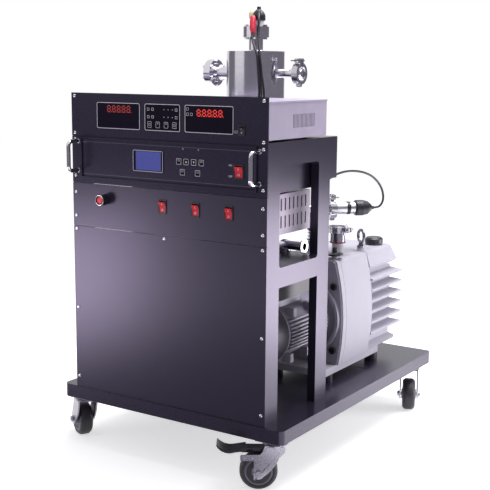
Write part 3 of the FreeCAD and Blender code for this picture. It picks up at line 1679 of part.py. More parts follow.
def drive_rotor():
    """The drive shaft with the motor's rotor, the fan's hub and the coupling end."""
    rotor = new_body("rotor_shaft")
    start = cowl_front + 12
    shaft = S.shaft_radius
    motor = motor_front + 20 - start
    motor_end = motor_rear - 24 - start
    end = pump_front + 24 + 6 - start
    spin(rotor, (0, 0), (14, 0), (14, 30), (shaft, 30), (shaft, motor), (S.motor_bore - 1, motor),
         (S.motor_bore - 1, motor_end), (shaft, motor_end), (shaft, end), (0, end))
    for index in range(6):
        blade = rect(10, 52, -1.5, 1.5)
        prism(rotor, "XY", 6, 26, turned_loop(blade, 60 * index))
    placed(rotor, (pump_x, start, S.shaft_height), TO_REAR)
    node(group(rotor, vane_rotor()), "drive_rotor")


def turned_loop(loop, angle):
    """The same loop, turned about the origin of its plane."""
    c, s = math.cos(math.radians(angle)), math.sin(math.radians(angle))
    return [(c * x - s * y, s * x + c * y) for x, y in loop]


def vane_rotor():
    """The pump's slotted rotor with its two vanes."""
    rotor = new_body("vane_rotor")
    start = pump_front + 24 + 6
    spin(rotor, (0, 0), (S.vane_radius, 0), (S.vane_radius, S.vane_length), (0, S.vane_length))
    for angle in (0, 180):
        prism(rotor, "XY", 0, S.vane_length, turned_loop(rect(20, 35.2, -2, 2), angle))
    return placed(rotor, (pump_x, start, S.shaft_height), TO_REAR)


# Switches and the power button

Switch = namedtuple("Switch", "name x z width height")
SWITCHES = (
    Switch("fore_pump", fore_switch_x, S.switch_row, S.switch_width, S.switch_height),
    Switch("baking", bake_switch_x, S.switch_row, S.switch_width, S.switch_height),
    Switch("vent", vent_switch_x, S.switch_row, S.switch_width, S.switch_height),
    Switch("controller_power", controller_switch_x, S.controller_switch_z,
           S.controller_switch_width, S.controller_switch_height),
    Switch("gauge_power", gauge_switch_x, S.gauge_switch_z, S.gauge_switch_width,
           S.gauge_switch_height),
)

def switch_bezels():
    """The frames and housings that the rockers sit in."""
    pieces = [button_barrel()]
    for item in SWITCHES:
        housing = new_body("switch_housing")
        wide = item.width / 2
        tall = item.height / 2
        inner_wide = wide - S.switch_wall
        inner_tall = tall - S.switch_wall
        hole = rect(item.x - inner_wide, item.x + inner_wide, item.z - inner_tall,
                    item.z + inner_tall)
        prism(housing, "XZ", -1.6, 0,
              rounded(item.x - wide, item.x + wide, item.z - tall, item.z + tall,
                      as_size(1)), hole)
        prism(housing, "XZ", 0, 16,
              rect(item.x - wide + 1.2, item.x + wide - 1.2, item.z - tall + 1.2,
                   item.z + tall - 1.2), hole)
        prism(housing, "XZ", 15, 16, hole)
        pivot = rod(1.35, item.width, (item.x - wide, S.rocker_pivot, item.z), TO_RIGHT)
        pieces.append(cut(housing, pivot))
    node(group(*pieces), "switch_bezels")


def rocker(item):
    """A rocker key that tips about a pin behind the panel; it rests with its bottom pressed."""
    body = new_body("rocker_blank_" + item.name)
    wide = item.width / 2 - S.switch_wall - 0.4
    tall = item.height / 2 - S.switch_wall - 1.2
    front = 2.5 + S.rocker_pivot
    prism(body, "YZ", -wide, wide, [
        (-front, -tall), (-front + 2, 0), (-front, tall), (-1.5, tall - 0.6), (5, 5),
        (5, -5), (-1.5, -tall + 0.6),
    ])
    prism(body, "YZ", -wide - 1.3, wide + 1.3, Circle(0, 0, 1.25))
    placed(body, (item.x, S.rocker_pivot, item.z), Rotation(Vector(1, 0, 0), 10))
    node(body, "rocker_" + item.name)


def button_barrel():
    """The lit button's dark barrel, with its bright rim and its neck behind the panel."""
    barrel = new_body("button_barrel")
    radius = S.button_barrel
    hole = S.button_radius + 0.35
    reach = S.button_reach
    spin(barrel, (hole, reach - 2), (hole + 0.6, reach), (radius + 0.6, reach),
         (radius + 0.8, reach - 2.5), (radius, reach - 3), (radius, 0), (radius - 1.4, 0),
         (radius - 1.4, -22), (hole, -22))
    return placed(barrel, (S.button_x, 0, S.button_z), TO_FRONT)


def power_button():
    """The lit plunger that slides in the barrel."""
    plunger = new_body("power_button")
    radius = S.button_radius
    face = S.button_reach - 0.5
    spin(plunger, (0, -17), (radius - 1, -17), (radius - 1, -2), (radius, 0), (radius, face - 2),
         (radius - 2, face), (0, face))
    placed(plunger, (S.button_x, 0, S.button_z), TO_FRONT)
    node(plunger, "power_button")


def screws_and_bolts():
    pieces = []
    for x, z in screw_places():
        pieces.append(prismatic(8, S.screw_radius, S.screw_head, (x, 0, z), TO_FRONT))
    for side in (-1, 1):
        for z in (S.front_bolt_high, S.front_bolt_low):
            x = pump_x + side * S.front_bolt_half
            pieces.append(rod(S.front_bolt_radius, S.front_bolt_head, (x, pump_front - 4, z),
                              TO_FRONT))
    node(group(*pieces), "screws_and_bolts")


# Cables

def route_wire(points, radius):
    """A path of straight runs joined by tangent arcs, and the radii it came to."""
    points = [Vector(*point) for point in points]
    edges = []
    radii = []
    start = points[0]
    for before, corner, after in zip(points, points[1:], points[2:]):
        first = corner - before
        second = after - corner
        turn = first.getAngle(second)
        reach = 0.45 * min(first.Length, second.Length)
        radii.append(reach / math.tan(turn / 2))
        into = corner - Vector(first).normalize() * reach
        out = corner + Vector(second).normalize() * reach
        bisector = (into + out) / 2 - corner
        side = Vector(bisector).normalize()
        centre = corner + side * math.hypot(reach, radii[-1])
        top = centre - side * radii[-1]
        edges.append(Part.LineSegment(start, into).toShape())
        edges.append(Part.Arc(into, top, out).toShape())
        start = out
    edges.append(Part.LineSegment(start, points[-1]).toShape())
    return Part.Wire(edges), radii


def cable(label, points, radius):
    path, radii = route_wire(points, radius)
    start = Vector(*points[0])
    along = Vector(*points[1]) - start
    section = Part.Wire([Part.Circle(start, along, radius).toShape()])
    solid = path.makePipeShell([section], True, False)
    expected = math.pi * radius ** 2 * path.Length
    print("%s radii %s" % (label, [round(r, 1) for r in radii]))
    print("%s volume %.0f, section by length %.0f" % (label, solid.Volume, expected))
    return solid


ELBOW_WAY = Vector(8.6, -13.4, -7)
BOOT_WAY = Vector(-9, 16, 40)
BOOT_BASE = (stack_x + 16, stack_y - 39.5, CAP_BOTTOM - 28)
ION_ROUTE_A = [
    (257.6, 316.6, 801), (268, 300.4, 792.5), (269.5, 297, 764), (277, 286, 738),
    (288, 274, 710), (292, 275, 672), (297, 277, 640), (298, 278, 614), (298, 258, 592),
    (298, 236, 592),
]
ION_ROUTE_B = [
    (258, 290.5, 757), (261.4, 284.5, 742), (270, 278.5, 731), (283, 271, 713), (288, 270, 680),
    (288, 275, 645), (286, 278, 614), (286, 258, 592), (286, 236, 592),
]
PIRANI_ROUTE = [
    (440.7, 528.7, 368), (448, 536, 368), (454, 542, 374), (457, 546, 386), (456, 545, 402),
    (454, 536, 418), (452, 516, 434), (451, 488, 447), (450, 450, 457), (450, 405, 463),
    (452, 360, 465), (453, 318, 462), (452, 285, 453), (452, 258, 453),
]


def cables():
    solids = [
        cable("ion cable A", ION_ROUTE_A, SIZES["ion_cable_radius"]),
        cable("ion cable B", ION_ROUTE_B, SIZES["ion_cable_radius"]),
    ]
    pair = doc.addObject("Part::Feature", "ion_gauge_cables")
    pair.Shape = Part.makeCompound(solids)
    node(pair, "ion_gauge_cables")
    single = doc.addObject("Part::Feature", "pirani_cable")
    single.Shape = cable("pirani cable", PIRANI_ROUTE, SIZES["pirani_cable_radius"])
    node(single, "pirani_cable")


def cable_plugs():
    """Plugs at the instruments' rear faces, where the cables end."""
    pieces = []
    for x in (298, 286):
        pieces.append(rod(5.5, S.ion_plug_length, (x, gauge_case_rear, 592), TO_REAR))
    pieces.append(rod(7, S.pirani_plug_length, (452, controller_case_rear, 453), TO_REAR))
    node(group(*pieces), "cable_plugs")


def ion_gauge_connector():
    """The domed black plug, the red boot beside it and a small clear lamp cover."""
    x = stack_x + S.gauge_cap_offset
    y = stack_y
    cap = new_body("ion_gauge_cap")
    spin(cap, (0, 0), (14.5, 0), (14.5, 11), (10.5, 20), (4, 24), (4, 30), (0, 30))
    placed(cap, (x, y, CAP_BOTTOM))
    elbow = rod(4, 17.4, (x, y, CAP_BOTTOM + 23), Rotation(Vector(0, 0, 1), ELBOW_WAY))
    spigot = rod(3, 15, (x, y - 10, CAP_BOTTOM + 8), TO_FRONT)
    boot = new_body("connector_boot")
    spin(boot, (0, 0), (3.4, 0), (6, 12), (6.5, 30), (5, 40), (0, 40))
    placed(boot, BOOT_BASE, Rotation(Vector(0, 0, 1), BOOT_WAY))
    cover = new_body("lamp_cover")
    spin(cover, (0, 0), (5.5, 0), (5.5, 12), (3, 16), (0, 16))
    placed(cover, (stack_x - 13, y + 2, CAP_BOTTOM + 5))
    node(group(fuse(cap, elbow, spigot, boot), cover), "ion_gauge_connector")


base_tray()
cross_channels()
caster_plates()
for caster_name, (caster_x, caster_y, caster_yaw) in CASTERS.items():
    caster_fork(caster_name, caster_x, caster_y, caster_yaw)
    caster_wheel(caster_name, caster_x, caster_y, caster_yaw)
brake_pedal()
side_frame("left", as_size(0), 1)
side_frame("right", S.rack_width, -1)
top_plate()
pump_bracket()
instrument_shelf()
lower_front_panel()
control_panel()
controller_front_panel()
gauge_front_panel()
display_windows()
controller_handles()
controller_case()
gauge_case()
power_supply_box()
vent_valve()
switch_bezels()
for switch in SWITCHES:
    rocker(switch)
power_button()
screws_and_bolts()
chamber_body()
port_blanks()
kf_clamps()
ion_gauge_head()
ion_gauge_connector()
turbo_housing()
turbo_rotor()
foreline_tee()
foreline_bellows()
pirani_gauge()
pirani_plug()
rv_pump_body()
rv_motor_bracket()
rv_feet()
rv_lifting_eye()
rv_exhaust_port()
gas_ballast_knob()
oil_filler_cap()
motor_frame()
motor_fan_cowl()
motor_terminal_box()
drive_rotor()
cables()
cable_plugs()

doc.recompute()
CORDS = ("ion_gauge_cables", "pirani_cable")

# Check every object, then write the sub-parts

for obj in doc.Objects:
    if "Invalid" in obj.State or "Error" in obj.State:
        raise RuntimeError("%s did not build: %s" % (obj.Label, obj.State))
    if obj.TypeId in ("PartDesign::Pocket", "PartDesign::Groove"):
        if obj.Shape.Volume > obj.BaseFeature.Shape.Volume - 0.01:
            raise RuntimeError("%s removes nothing" % obj.Name)
for obj in NODES:
    if obj.Shape.isNull() or not obj.Shape.isValid():
        raise RuntimeError("%s has no valid shape" % obj.Label)
    if not obj.Shape.Solids:
        raise RuntimeError("%s has no solid" % obj.Label)

bounds = FreeCAD.BoundBox()
for obj in NODES:
    if obj.Label not in CORDS:
        bounds.add(obj.Shape.optimalBoundingBox(False))
shift = Vector(-bounds.Center.x, -bounds.Center.y, -bounds.ZMin)
print("nodes %d, bounds %s" % (len(NODES), bounds))
print("shift %.4f %.4f %.4f" % (shift.x, shift.y, shift.z))

os.makedirs("parts", exist_ok=True)
for obj in NODES:
    shape = obj.Shape.copy()
    shape.translate(shift)
    shape.exportStep("parts/%s.step" % obj.Label)
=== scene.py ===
import math

import bmesh
import bpy
from mathutils import Matrix, Vector


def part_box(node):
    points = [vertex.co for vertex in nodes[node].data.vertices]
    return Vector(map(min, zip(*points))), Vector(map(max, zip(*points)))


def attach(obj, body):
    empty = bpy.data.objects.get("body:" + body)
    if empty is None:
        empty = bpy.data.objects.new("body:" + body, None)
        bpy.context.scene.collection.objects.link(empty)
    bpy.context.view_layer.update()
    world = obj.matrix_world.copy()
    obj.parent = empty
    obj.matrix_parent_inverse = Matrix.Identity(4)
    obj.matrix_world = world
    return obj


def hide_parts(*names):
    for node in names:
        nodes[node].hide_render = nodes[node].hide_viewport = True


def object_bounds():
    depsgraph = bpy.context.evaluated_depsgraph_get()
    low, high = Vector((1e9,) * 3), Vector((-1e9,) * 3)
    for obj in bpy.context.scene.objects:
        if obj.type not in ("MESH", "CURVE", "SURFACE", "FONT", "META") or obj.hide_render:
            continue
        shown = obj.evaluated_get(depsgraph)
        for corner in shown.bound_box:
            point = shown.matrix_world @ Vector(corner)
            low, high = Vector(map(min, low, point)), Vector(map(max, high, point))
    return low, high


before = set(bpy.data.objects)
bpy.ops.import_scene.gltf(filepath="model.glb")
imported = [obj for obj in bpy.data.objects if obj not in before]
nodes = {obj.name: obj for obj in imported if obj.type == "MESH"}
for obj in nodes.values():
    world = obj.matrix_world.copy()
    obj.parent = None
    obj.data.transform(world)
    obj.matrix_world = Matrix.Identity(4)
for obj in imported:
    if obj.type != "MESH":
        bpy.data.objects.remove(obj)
cad_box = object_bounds()

# Where things are: every place is measured in millimetres from the cabinet's front left corner,
# to the right along the panels, to the rear, and up from the deck that the cabinet stands on.
panel_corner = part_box("lower_front_panel")[0]
deck_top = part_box("base_tray")[1].z
corner = Vector((panel_corner.x, panel_corner.y, deck_top))


def at(x, y, z):
    """A place in metres."""
    return corner + Vector((x, y, z)) / 1000


def extent(node):
    """A solid's lowest and highest corners, in millimetres from the cabinet's corner."""
    return [(end - corner) * 1000 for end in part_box(node)]


# The photographer's side: a long lens at chest height, off the front right corner, looking a
# little down, so the panels, the open right side and the pump behind all show.
CAMERA_PLACE = (1492.6, -1612.65, 684.37)
CAMERA_TURN = (80.248, -0.4483, 33.358)
SENSOR_WIDTH = 36
LENS = 75.97
bpy.ops.object.camera_add(
    location=at(*CAMERA_PLACE),
    rotation=[math.radians(turn) for turn in CAMERA_TURN],
)
camera = bpy.context.object
camera.data.sensor_width = SENSOR_WIDTH
camera.data.lens = LENS
camera.data.clip_end = 30
bpy.context.scene.camera = camera
bpy.context.scene.view_settings.view_transform = "Standard"

# The leads of the ion gauge and of the foreline gauge: round black cable, clipped into their
# plugs at both ends. The points are the ones that the solids follow.
ION_LEAD_HIGH = [
    (257.6, 316.6, 801), (268, 300.4, 792.5), (269.5, 297, 764), (277, 286, 738),
    (288, 274, 710), (292, 275, 672), (297, 277, 640), (298, 278, 614), (298, 258, 592),
    (298, 236, 592),
]
ION_LEAD_LOW = [
    (258, 290.5, 757), (261.4, 284.5, 742), (270, 278.5, 731), (283, 271, 713),
    (288, 270, 680), (288, 275, 645), (286, 278, 614), (286, 258, 592), (286, 236, 592),
]
FORELINE_LEAD = [
    (440.7, 528.7, 368), (448, 536, 368), (454, 542, 374), (457, 546, 386), (456, 545, 402),
    (454, 536, 418), (452, 516, 434), (451, 488, 447), (450, 450, 457), (450, 405, 463),
    (452, 360, 465), (453, 318, 462), (452, 285, 453), (452, 258, 453),
]
LEAD_RADIUS = 2.5


def finish(name, colour, rough=0.4, metal=0.0, tone=0.12, patch=30, grain=900, relief=0.02,
           spread=0.08, stretch=(1, 1, 1), **sockets):
    """A surface: its colour varies softly in patches, its gloss and relief in a fine grain."""
    material = bpy.data.materials.new(name)
    material.use_nodes = True
    tree = material.node_tree
    shader = tree.nodes["Principled BSDF"]
    shader.inputs["Metallic"].default_value = metal
    for socket, value in sockets.items():
        shader.inputs[socket.replace("_", " ")].default_value = value
    coords = tree.nodes.new("ShaderNodeTexCoord")
    mapping = tree.nodes.new("ShaderNodeMapping")
    mapping.inputs["Scale"].default_value = stretch
    tree.links.new(coords.outputs["Object"], mapping.inputs["Vector"])
    cloudy = tree.nodes.new("ShaderNodeTexNoise")
    cloudy.inputs["Scale"].default_value = patch
    cloudy.inputs["Detail"].default_value = 3
    tree.links.new(mapping.outputs["Vector"], cloudy.inputs["Vector"])
    blend = tree.nodes.new("ShaderNodeMix")
    blend.data_type = "RGBA"
    blend.inputs[6].default_value = (*[c * (1 - tone) for c in colour], 1)
    blend.inputs[7].default_value = (*[min(1, c * (1 + tone)) for c in colour], 1)
    tree.links.new(cloudy.outputs["Fac"], blend.inputs[0])
    tree.links.new(blend.outputs[2], shader.inputs["Base Color"])
    fine = tree.nodes.new("ShaderNodeTexNoise")
    fine.inputs["Scale"].default_value = grain
    fine.inputs["Detail"].default_value = 2
    tree.links.new(mapping.outputs["Vector"], fine.inputs["Vector"])
    gloss = tree.nodes.new("ShaderNodeMapRange")
    gloss.inputs["To Min"].default_value = max(0.02, rough - spread)
    gloss.inputs["To Max"].default_value = min(1, rough + spread)
    tree.links.new(fine.outputs["Fac"], gloss.inputs["Value"])
    tree.links.new(gloss.outputs["Result"], shader.inputs["Roughness"])
    bump = tree.nodes.new("ShaderNodeBump")
    bump.inputs["Strength"].default_value = 0.5
    bump.inputs["Distance"].default_value = relief / 1000
    tree.links.new(fine.outputs["Fac"], bump.inputs["Height"])
    tree.links.new(bump.outputs["Normal"], shader.inputs["Normal"])
    return material


def dress(material, *names):
    """Give carried-over solids their finish."""
    for name in names:
        skin = nodes[name].data.materials
        skin.clear()
        skin.append(material)


cable_jacket = finish("cable_jacket", (0.012, 0.011, 0.018), rough=0.42, tone=0.2, grain=600)
black_nylon = finish("black_nylon", (0.014, 0.013, 0.02), rough=0.36, tone=0.2, grain=1200)


def lead(name, route, stands_for):
    """A cable along its route, with its real length in metres."""
    line = bpy.data.curves.new(name, "CURVE")
    line.dimensions = "3D"
    spline = line.splines.new("NURBS")
    spline.points.add(len(route) - 1)
    for point, place in zip(spline.points, route):
        point.co = (*at(*place), 1)
    spline.order_u = 3
    spline.use_endpoint_u = True
    line.bevel_depth = LEAD_RADIUS / 1000
    line.bevel_resolution = 4
    line.resolution_u = 10
    line.use_fill_caps = True
    piece = bpy.data.objects.new(name, line)
    bpy.context.collection.objects.link(piece)
    piece.data.materials.append(cable_jacket)
    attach(piece, "station")
    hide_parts(stands_for)


lead("ion_lead_high", ION_LEAD_HIGH, "ion_gauge_cables")
lead("ion_lead_low", ION_LEAD_LOW, "ion_gauge_cables")
lead("foreline_lead", FORELINE_LEAD, "pirani_cable")
dress(black_nylon, "cable_plugs")

# The tray: folded sheet steel on two cross channels that carry the casters, powder coated
# near-black with a fine orange peel and a lavender sheen.
LAVENDER = (0.80, 0.70, 1.0, 1)
deck_paint = finish("deck_paint", (0.013, 0.011, 0.021), rough=0.27, tone=0.15, relief=0.03,
                    Specular_IOR_Level=0.75, Specular_Tint=LAVENDER)
dress(deck_paint, "base_tray", "cross_channels")

# The casters: zinc plated fork and plate on a king pin. Each wheel is a black rubber tyre
# moulded on a grey hub, turned in one with its rim, and runs on a bolt with a nut at each end.
PLATE_HALF = 29
plates_low, plates_high = extent("caster_plates")
PIN_LEFT, PIN_RIGHT = plates_low.x + PLATE_HALF, plates_high.x - PLATE_HALF
PIN_FRONT, PIN_REAR = plates_low.y + PLATE_HALF, plates_high.y - PLATE_HALF
CASTERS = {"front_left": (PIN_LEFT, PIN_FRONT, 149), "front_right": (PIN_RIGHT, PIN_FRONT, 213),
           "rear_right": (PIN_RIGHT, PIN_REAR, 296), "rear_left": (PIN_LEFT, PIN_REAR, 250)}
TRAIL = 32.5
AXLE_DROP = 64.5
SKIRT_BOTTOM = extent("base_tray")[0].z
AXLE_HEIGHT = SKIRT_BOTTOM - AXLE_DROP
FORK_HALF = 22
TYRE = [(37.5, 0), (37.5, 7.6), (36.7, 9.4), (35, 11.8), (33, 13.9), (31, 14.6), (29, 14.2),
        (27.6, 13)]
HUB = [(27.8, 0), (27.8, 13.2), (26.6, 14.2), (25, 14.4), (23.6, 13), (15, 12.2), (13, 13.6),
       (11.9, 16.8), (11, 17.4), (6, 17.4)]
NUT = [(5.9, 0), (6.3, 0.5), (6.3, 3.4), (5.7, 4)]
AXLE_END = [(3.4, 0), (3.4, 5.2), (2.9, 5.8)]
UP = (0, 0, 1)


def on_caster(place, along, across, height):
    """A point of a caster: along its trail from the king pin, across it, and up."""
    x, y, yaw = CASTERS[place]
    c, s = math.cos(math.radians(yaw)), math.sin(math.radians(yaw))
    return x + along * c - across * s, y + along * s + across * c, height


def axle_way(place, side=1):
    """The way that a caster's axle points."""
    yaw = math.radians(CASTERS[place][2])
    return -side * math.sin(yaw), side * math.cos(yaw), 0


def alone(piece):
    """Leave one piece selected and active."""
    bpy.ops.object.select_all(action="DESELECT")
    piece.select_set(True)
    bpy.context.view_layer.objects.active = piece


def worked(piece, kind, **settings):
    """Give a piece a modifier with its settings, and apply it."""
    alone(piece)
    change = piece.modifiers.new(kind.lower(), kind)
    for setting, value in settings.items():
        setattr(change, setting, value)
    bpy.ops.object.modifier_apply(modifier=change.name)
    return piece


def pick(piece, wanted):
    """Leave only the faces chosen by their centre and normal selected, in edit mode."""
    mesh = bmesh.from_edit_mesh(piece.data)
    for face in mesh.faces:
        face.select_set(False)
    for face in mesh.faces:
        if wanted(face.calc_center_median(), face.normal):
            face.select_set(True)
    bmesh.update_edit_mesh(piece.data)


def grown(name, profile, sides=48, smooth=38):
    """A round piece raised ring by ring: each step extrudes the top face and resizes it."""
    (low, start), (high, end) = profile[:2]
    bpy.ops.object.select_all(action="DESELECT")
    bpy.ops.mesh.primitive_cone_add(
        vertices=sides, radius1=low / 1000, radius2=high / 1000, depth=(end - start) / 1000,
        location=(0, 0, (start + end) / 2000))
    piece = bpy.context.object
    piece.name = name
    bpy.ops.object.transform_apply(location=True, rotation=False, scale=False)
    bpy.ops.object.mode_set(mode="EDIT")
    pick(piece, lambda centre, normal: centre.z > end / 1000 - 1e-6 and normal.z > 0.9)
    for (before, level), (radius, top) in zip(profile[1:], profile[2:]):
        rise = (0, 0, (top - level) / 1000)
        bpy.ops.mesh.extrude_region_move(TRANSFORM_OT_translate={"value": rise})
        ratio = radius / before
        bpy.ops.transform.resize(value=(ratio, ratio, 1), center_override=(0, 0, top / 1000))
    bpy.ops.object.mode_set(mode="OBJECT")
    bpy.ops.object.shade_smooth_by_angle(angle=math.radians(smooth))
    return piece


def doubled(piece):
    """Mirror a half that stands on its parting plane, without the plane's own face."""
    alone(piece)
    bpy.ops.object.mode_set(mode="EDIT")
    pick(piece, lambda centre, normal: abs(centre.z) < 1e-6 and normal.z < -0.9)
    bpy.ops.mesh.delete(type="FACE")
    bpy.ops.object.mode_set(mode="OBJECT")
    worked(piece, "MIRROR", use_axis=(False, False, True))
    bpy.ops.object.mode_set(mode="EDIT")
    bpy.ops.mesh.select_all(action="SELECT")
    bpy.ops.mesh.normals_make_consistent(inside=False)
    bpy.ops.object.mode_set(mode="OBJECT")
    return piece


def settle(piece, place, way=UP):
    """Put a piece at its place with its own Z along a way, and leave the place in its mesh."""
    alone(piece)
    piece.rotation_mode = "QUATERNION"
    piece.rotation_quaternion = Vector(way).to_track_quat("Z", "Y")
    piece.location = at(*place)
    bpy.ops.object.transform_apply(location=True, rotation=True, scale=True)
    piece.rotation_mode = "XYZ"
    return piece


def again(piece):
    """A copy with its own mesh."""
    copy = piece.copy()
    copy.data = piece.data.copy()
    bpy.context.collection.objects.link(copy)
    return copy


def dropped(*forms):
    """Take away the forms that were only there to be copied."""
    for form in forms:
        bpy.data.objects.remove(form)


def joined(name, pieces):
    """Make pieces of one finish one object under its name."""
    bpy.ops.object.select_all(action="DESELECT")
    for piece in pieces:
        piece.select_set(True)
    bpy.context.view_layer.objects.active = pieces[0]
    if len(pieces) > 1:
        bpy.ops.object.join()
    pieces[0].name = name
    return pieces[0]


def fit(piece, material, body="station", stands_for=None):
    """Finish a piece, let it ride on its body, and hide the solid that it stands for."""
    piece.data.materials.clear()
    piece.data.materials.append(material)
    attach(piece, body)
    if stands_for:
        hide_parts(stands_for)


zinc = finish("zinc", (0.36, 0.34, 0.40), rough=0.28, metal=0.9, tone=0.14, grain=500)
tyre_rubber = finish("tyre_rubber", (0.020, 0.018, 0.026), rough=0.5, tone=0.25, grain=700,
                     relief=0.06)
hub_grey = finish("hub_grey", (0.15, 0.14, 0.18), rough=0.38, tone=0.12, grain=500)
dress(zinc, "caster_plates")
tyre = doubled(grown("tyre", TYRE, 64))
hub = doubled(grown("hub", HUB))
nut = grown("nut", NUT, 6, 20)
axle_end = grown("axle_end", AXLE_END, 20)
for place in CASTERS:
    dress(zinc, "caster_fork_" + place)
    centre = on_caster(place, TRAIL, 0, AXLE_HEIGHT)
    for form, kind, skin in ((tyre, "tyre_", tyre_rubber), (hub, "hub_", hub_grey)):
        round_part = joined(kind + place, [settle(again(form), centre, axle_way(place))])
        fit(round_part, skin, "wheel_" + place, "caster_wheel_" + place)
    nuts = [settle(again(form), on_caster(place, TRAIL, side * FORK_HALF, AXLE_HEIGHT),
                   axle_way(place, side))
            for side in (1, -1) for form in (nut, axle_end)]
    fit(joined("axle_nuts_" + place, nuts), zinc, "swivel_" + place)
dropped(tyre, hub, nut, axle_end)

# The front right caster's brake: a black pedal between two zinc plated cheeks. Each cheek is
# cut from sheet in one outline and riveted to the fork's leg, with an arm over the wheel.
CHEEK_SHEET = 1.5
ARM_SHEET = 1.44
CHEEK_BACK, CHEEK_FRONT, CHEEK_LOW, CHEEK_TOP = -19, 42, -78, -10
ARM_BACK, ARM_END, ARM_LOW, ARM_TOP = 22, 68.5, -38.5, -26
FRONT_SLOPE = ((14, CHEEK_TOP), (16, 28))
BACK_SLOPE = ((CHEEK_BACK, -20), (-58, -42.5))
RIVET = [(3.1, 0), (3.1, 0.7), (2.6, 1.4), (1.5, 1.8)]
RIVETS = ((61, -32), (46, -32))
RIVET_SEAT = FORK_HALF + CHEEK_SHEET - 0.1


def flat(left, right, low, high, corner_radius, sheet, segments=5, level=0, line=0, slopes=()):
    """A thin flat part in its own X and Y: corners cut off on slopes and the rest rounded,
    only an outline where it has a line width, then walled upwards from its level. A slope is
    a point on its line and the way out of the part."""
    bpy.ops.object.select_all(action="DESELECT")
    bpy.ops.mesh.primitive_plane_add(
        size=0.001, location=((left + right) / 2000, (low + high) / 2000, level / 1000))
    piece = bpy.context.object
    piece.scale = (right - left, high - low, 1)
    bpy.ops.object.transform_apply(location=True, rotation=False, scale=True)
    bpy.ops.object.mode_set(mode="EDIT")
    for (along, height), (out, up) in slopes:
        bpy.ops.mesh.select_all(action="SELECT")
        bpy.ops.mesh.bisect(plane_co=(along / 1000, height / 1000, 0), plane_no=(out, up, 0),
                            clear_outer=True)
    bpy.ops.mesh.select_all(action="SELECT")
    bpy.ops.mesh.bevel(offset=corner_radius / 1000, segments=segments, affect="VERTICES")
    if line:
        bpy.ops.mesh.select_all(action="SELECT")
        bpy.ops.mesh.inset(thickness=line / 1000)
        bpy.ops.mesh.delete(type="FACE")
    bpy.ops.object.mode_set(mode="OBJECT")
    return worked(piece, "SOLIDIFY", thickness=sheet / 1000, offset=1)


cheek = flat(CHEEK_BACK, CHEEK_FRONT, CHEEK_LOW, CHEEK_TOP, 3, CHEEK_SHEET, segments=4,
             level=-CHEEK_SHEET / 2, slopes=(FRONT_SLOPE, BACK_SLOPE))
arm = flat(ARM_BACK, ARM_END, ARM_LOW, ARM_TOP, 3, ARM_SHEET, segments=4,
           level=-ARM_SHEET / 2)
worked(cheek, "BOOLEAN", operation="UNION", object=arm, solver="EXACT")
rivet = grown("rivet", RIVET, 20)
cheeks = []
for side in (-1, 1):
    middle = on_caster("front_right", 0, side * (FORK_HALF + CHEEK_SHEET / 2), SKIRT_BOTTOM)
    cheeks.append(settle(again(cheek), middle, axle_way("front_right", -1)))
    for along, height in RIVETS:
        seat = on_caster("front_right", along, side * RIVET_SEAT, SKIRT_BOTTOM + height)
        cheeks.append(settle(again(rivet), seat, axle_way("front_right", side)))
dropped(arm, cheek, rivet)
fit(joined("brake_cheeks", cheeks), zinc, "swivel_front_right")
dress(black_nylon, "brake_pedal")

# The cabinet: folded frames and front panels in charcoal powder coat with a lavender sheen.
# Pan-head screws with a cross recess hold the panels, and four socket bolts the pump's front.
SCREW = [(3.5, 0), (3.6, 0.5), (3.5, 1.1), (3.0, 1.7), (2.1, 2.1)]
CROSS_LONG, CROSS_WIDE, CROSS_DEEP = 3.6, 0.8, 2.4
CROSS_LEVELS = (2.2, 2.21)
SCREW_ROWS = (23, 176, 346, 374.5, 424.5, 459, 535, 548, 624)
SCREW_COLUMNS = (8.75, 473.85)
MIDDLE_SCREW = (241.3, 0, 346)
SOCKET_BOLT = [(7.8, 0), (8, 0.4), (8, 4.9), (7.2, 5.8), (6.6, 6)]
SOCKET_RADIUS, SOCKET_BOTTOM, SOCKET_LENGTH = 4.2, 2.5, 8
PUMP_FRONT = 352
BOLT_COLUMNS, BOLT_ROWS = (302, 438), (211, 67)
TO_FRONT, TO_REAR = (0, -1, 0), (0, 1, 0)


def bar(size, place=(0, 0, 0)):
    """A block of a size about a place."""
    bpy.ops.object.select_all(action="DESELECT")
    bpy.ops.mesh.primitive_cube_add(size=0.001, location=Vector(place) / 1000)
    piece = bpy.context.object
    piece.scale = size
    bpy.ops.object.transform_apply(location=True, rotation=False, scale=True)
    return piece


def sunk(piece, cutter):
    """Take a cutter's shape out of a piece."""
    worked(piece, "BOOLEAN", operation="DIFFERENCE", object=cutter, solver="EXACT")
    dropped(cutter)


def copies(form, places, way):
    """Copies of a form at its places, each with its own mesh. The form itself goes."""
    made = [settle(again(form), place, way) for place in places]
    dropped(form)
    return made


cabinet_paint = finish("cabinet_paint", (0.013, 0.011, 0.021), rough=0.30, relief=0.03,
                       spread=0.05, Specular_IOR_Level=0.70, Specular_Tint=LAVENDER)
panel_paint = finish("panel_paint", (0.020, 0.017, 0.034), rough=0.28, relief=0.02,
                     spread=0.05, Specular_IOR_Level=0.30, Specular_Tint=LAVENDER)
bright_zinc = finish("bright_zinc", (0.70, 0.68, 0.72), rough=0.24, metal=1, tone=0.1,
                     grain=800)
dark_steel = finish("dark_steel", (0.03, 0.028, 0.036), rough=0.34, metal=0.6, tone=0.15)
dress(cabinet_paint, "side_frame_left", "side_frame_right", "top_plate", "pump_bracket",
      "instrument_shelf", "lower_front_panel", "control_panel")
dress(panel_paint, "controller_front_panel", "gauge_front_panel")
screw = grown("panel_screw", SCREW, 24)
sunk(screw, bar((CROSS_LONG, CROSS_WIDE, CROSS_DEEP), (0, 0, CROSS_LEVELS[0])))
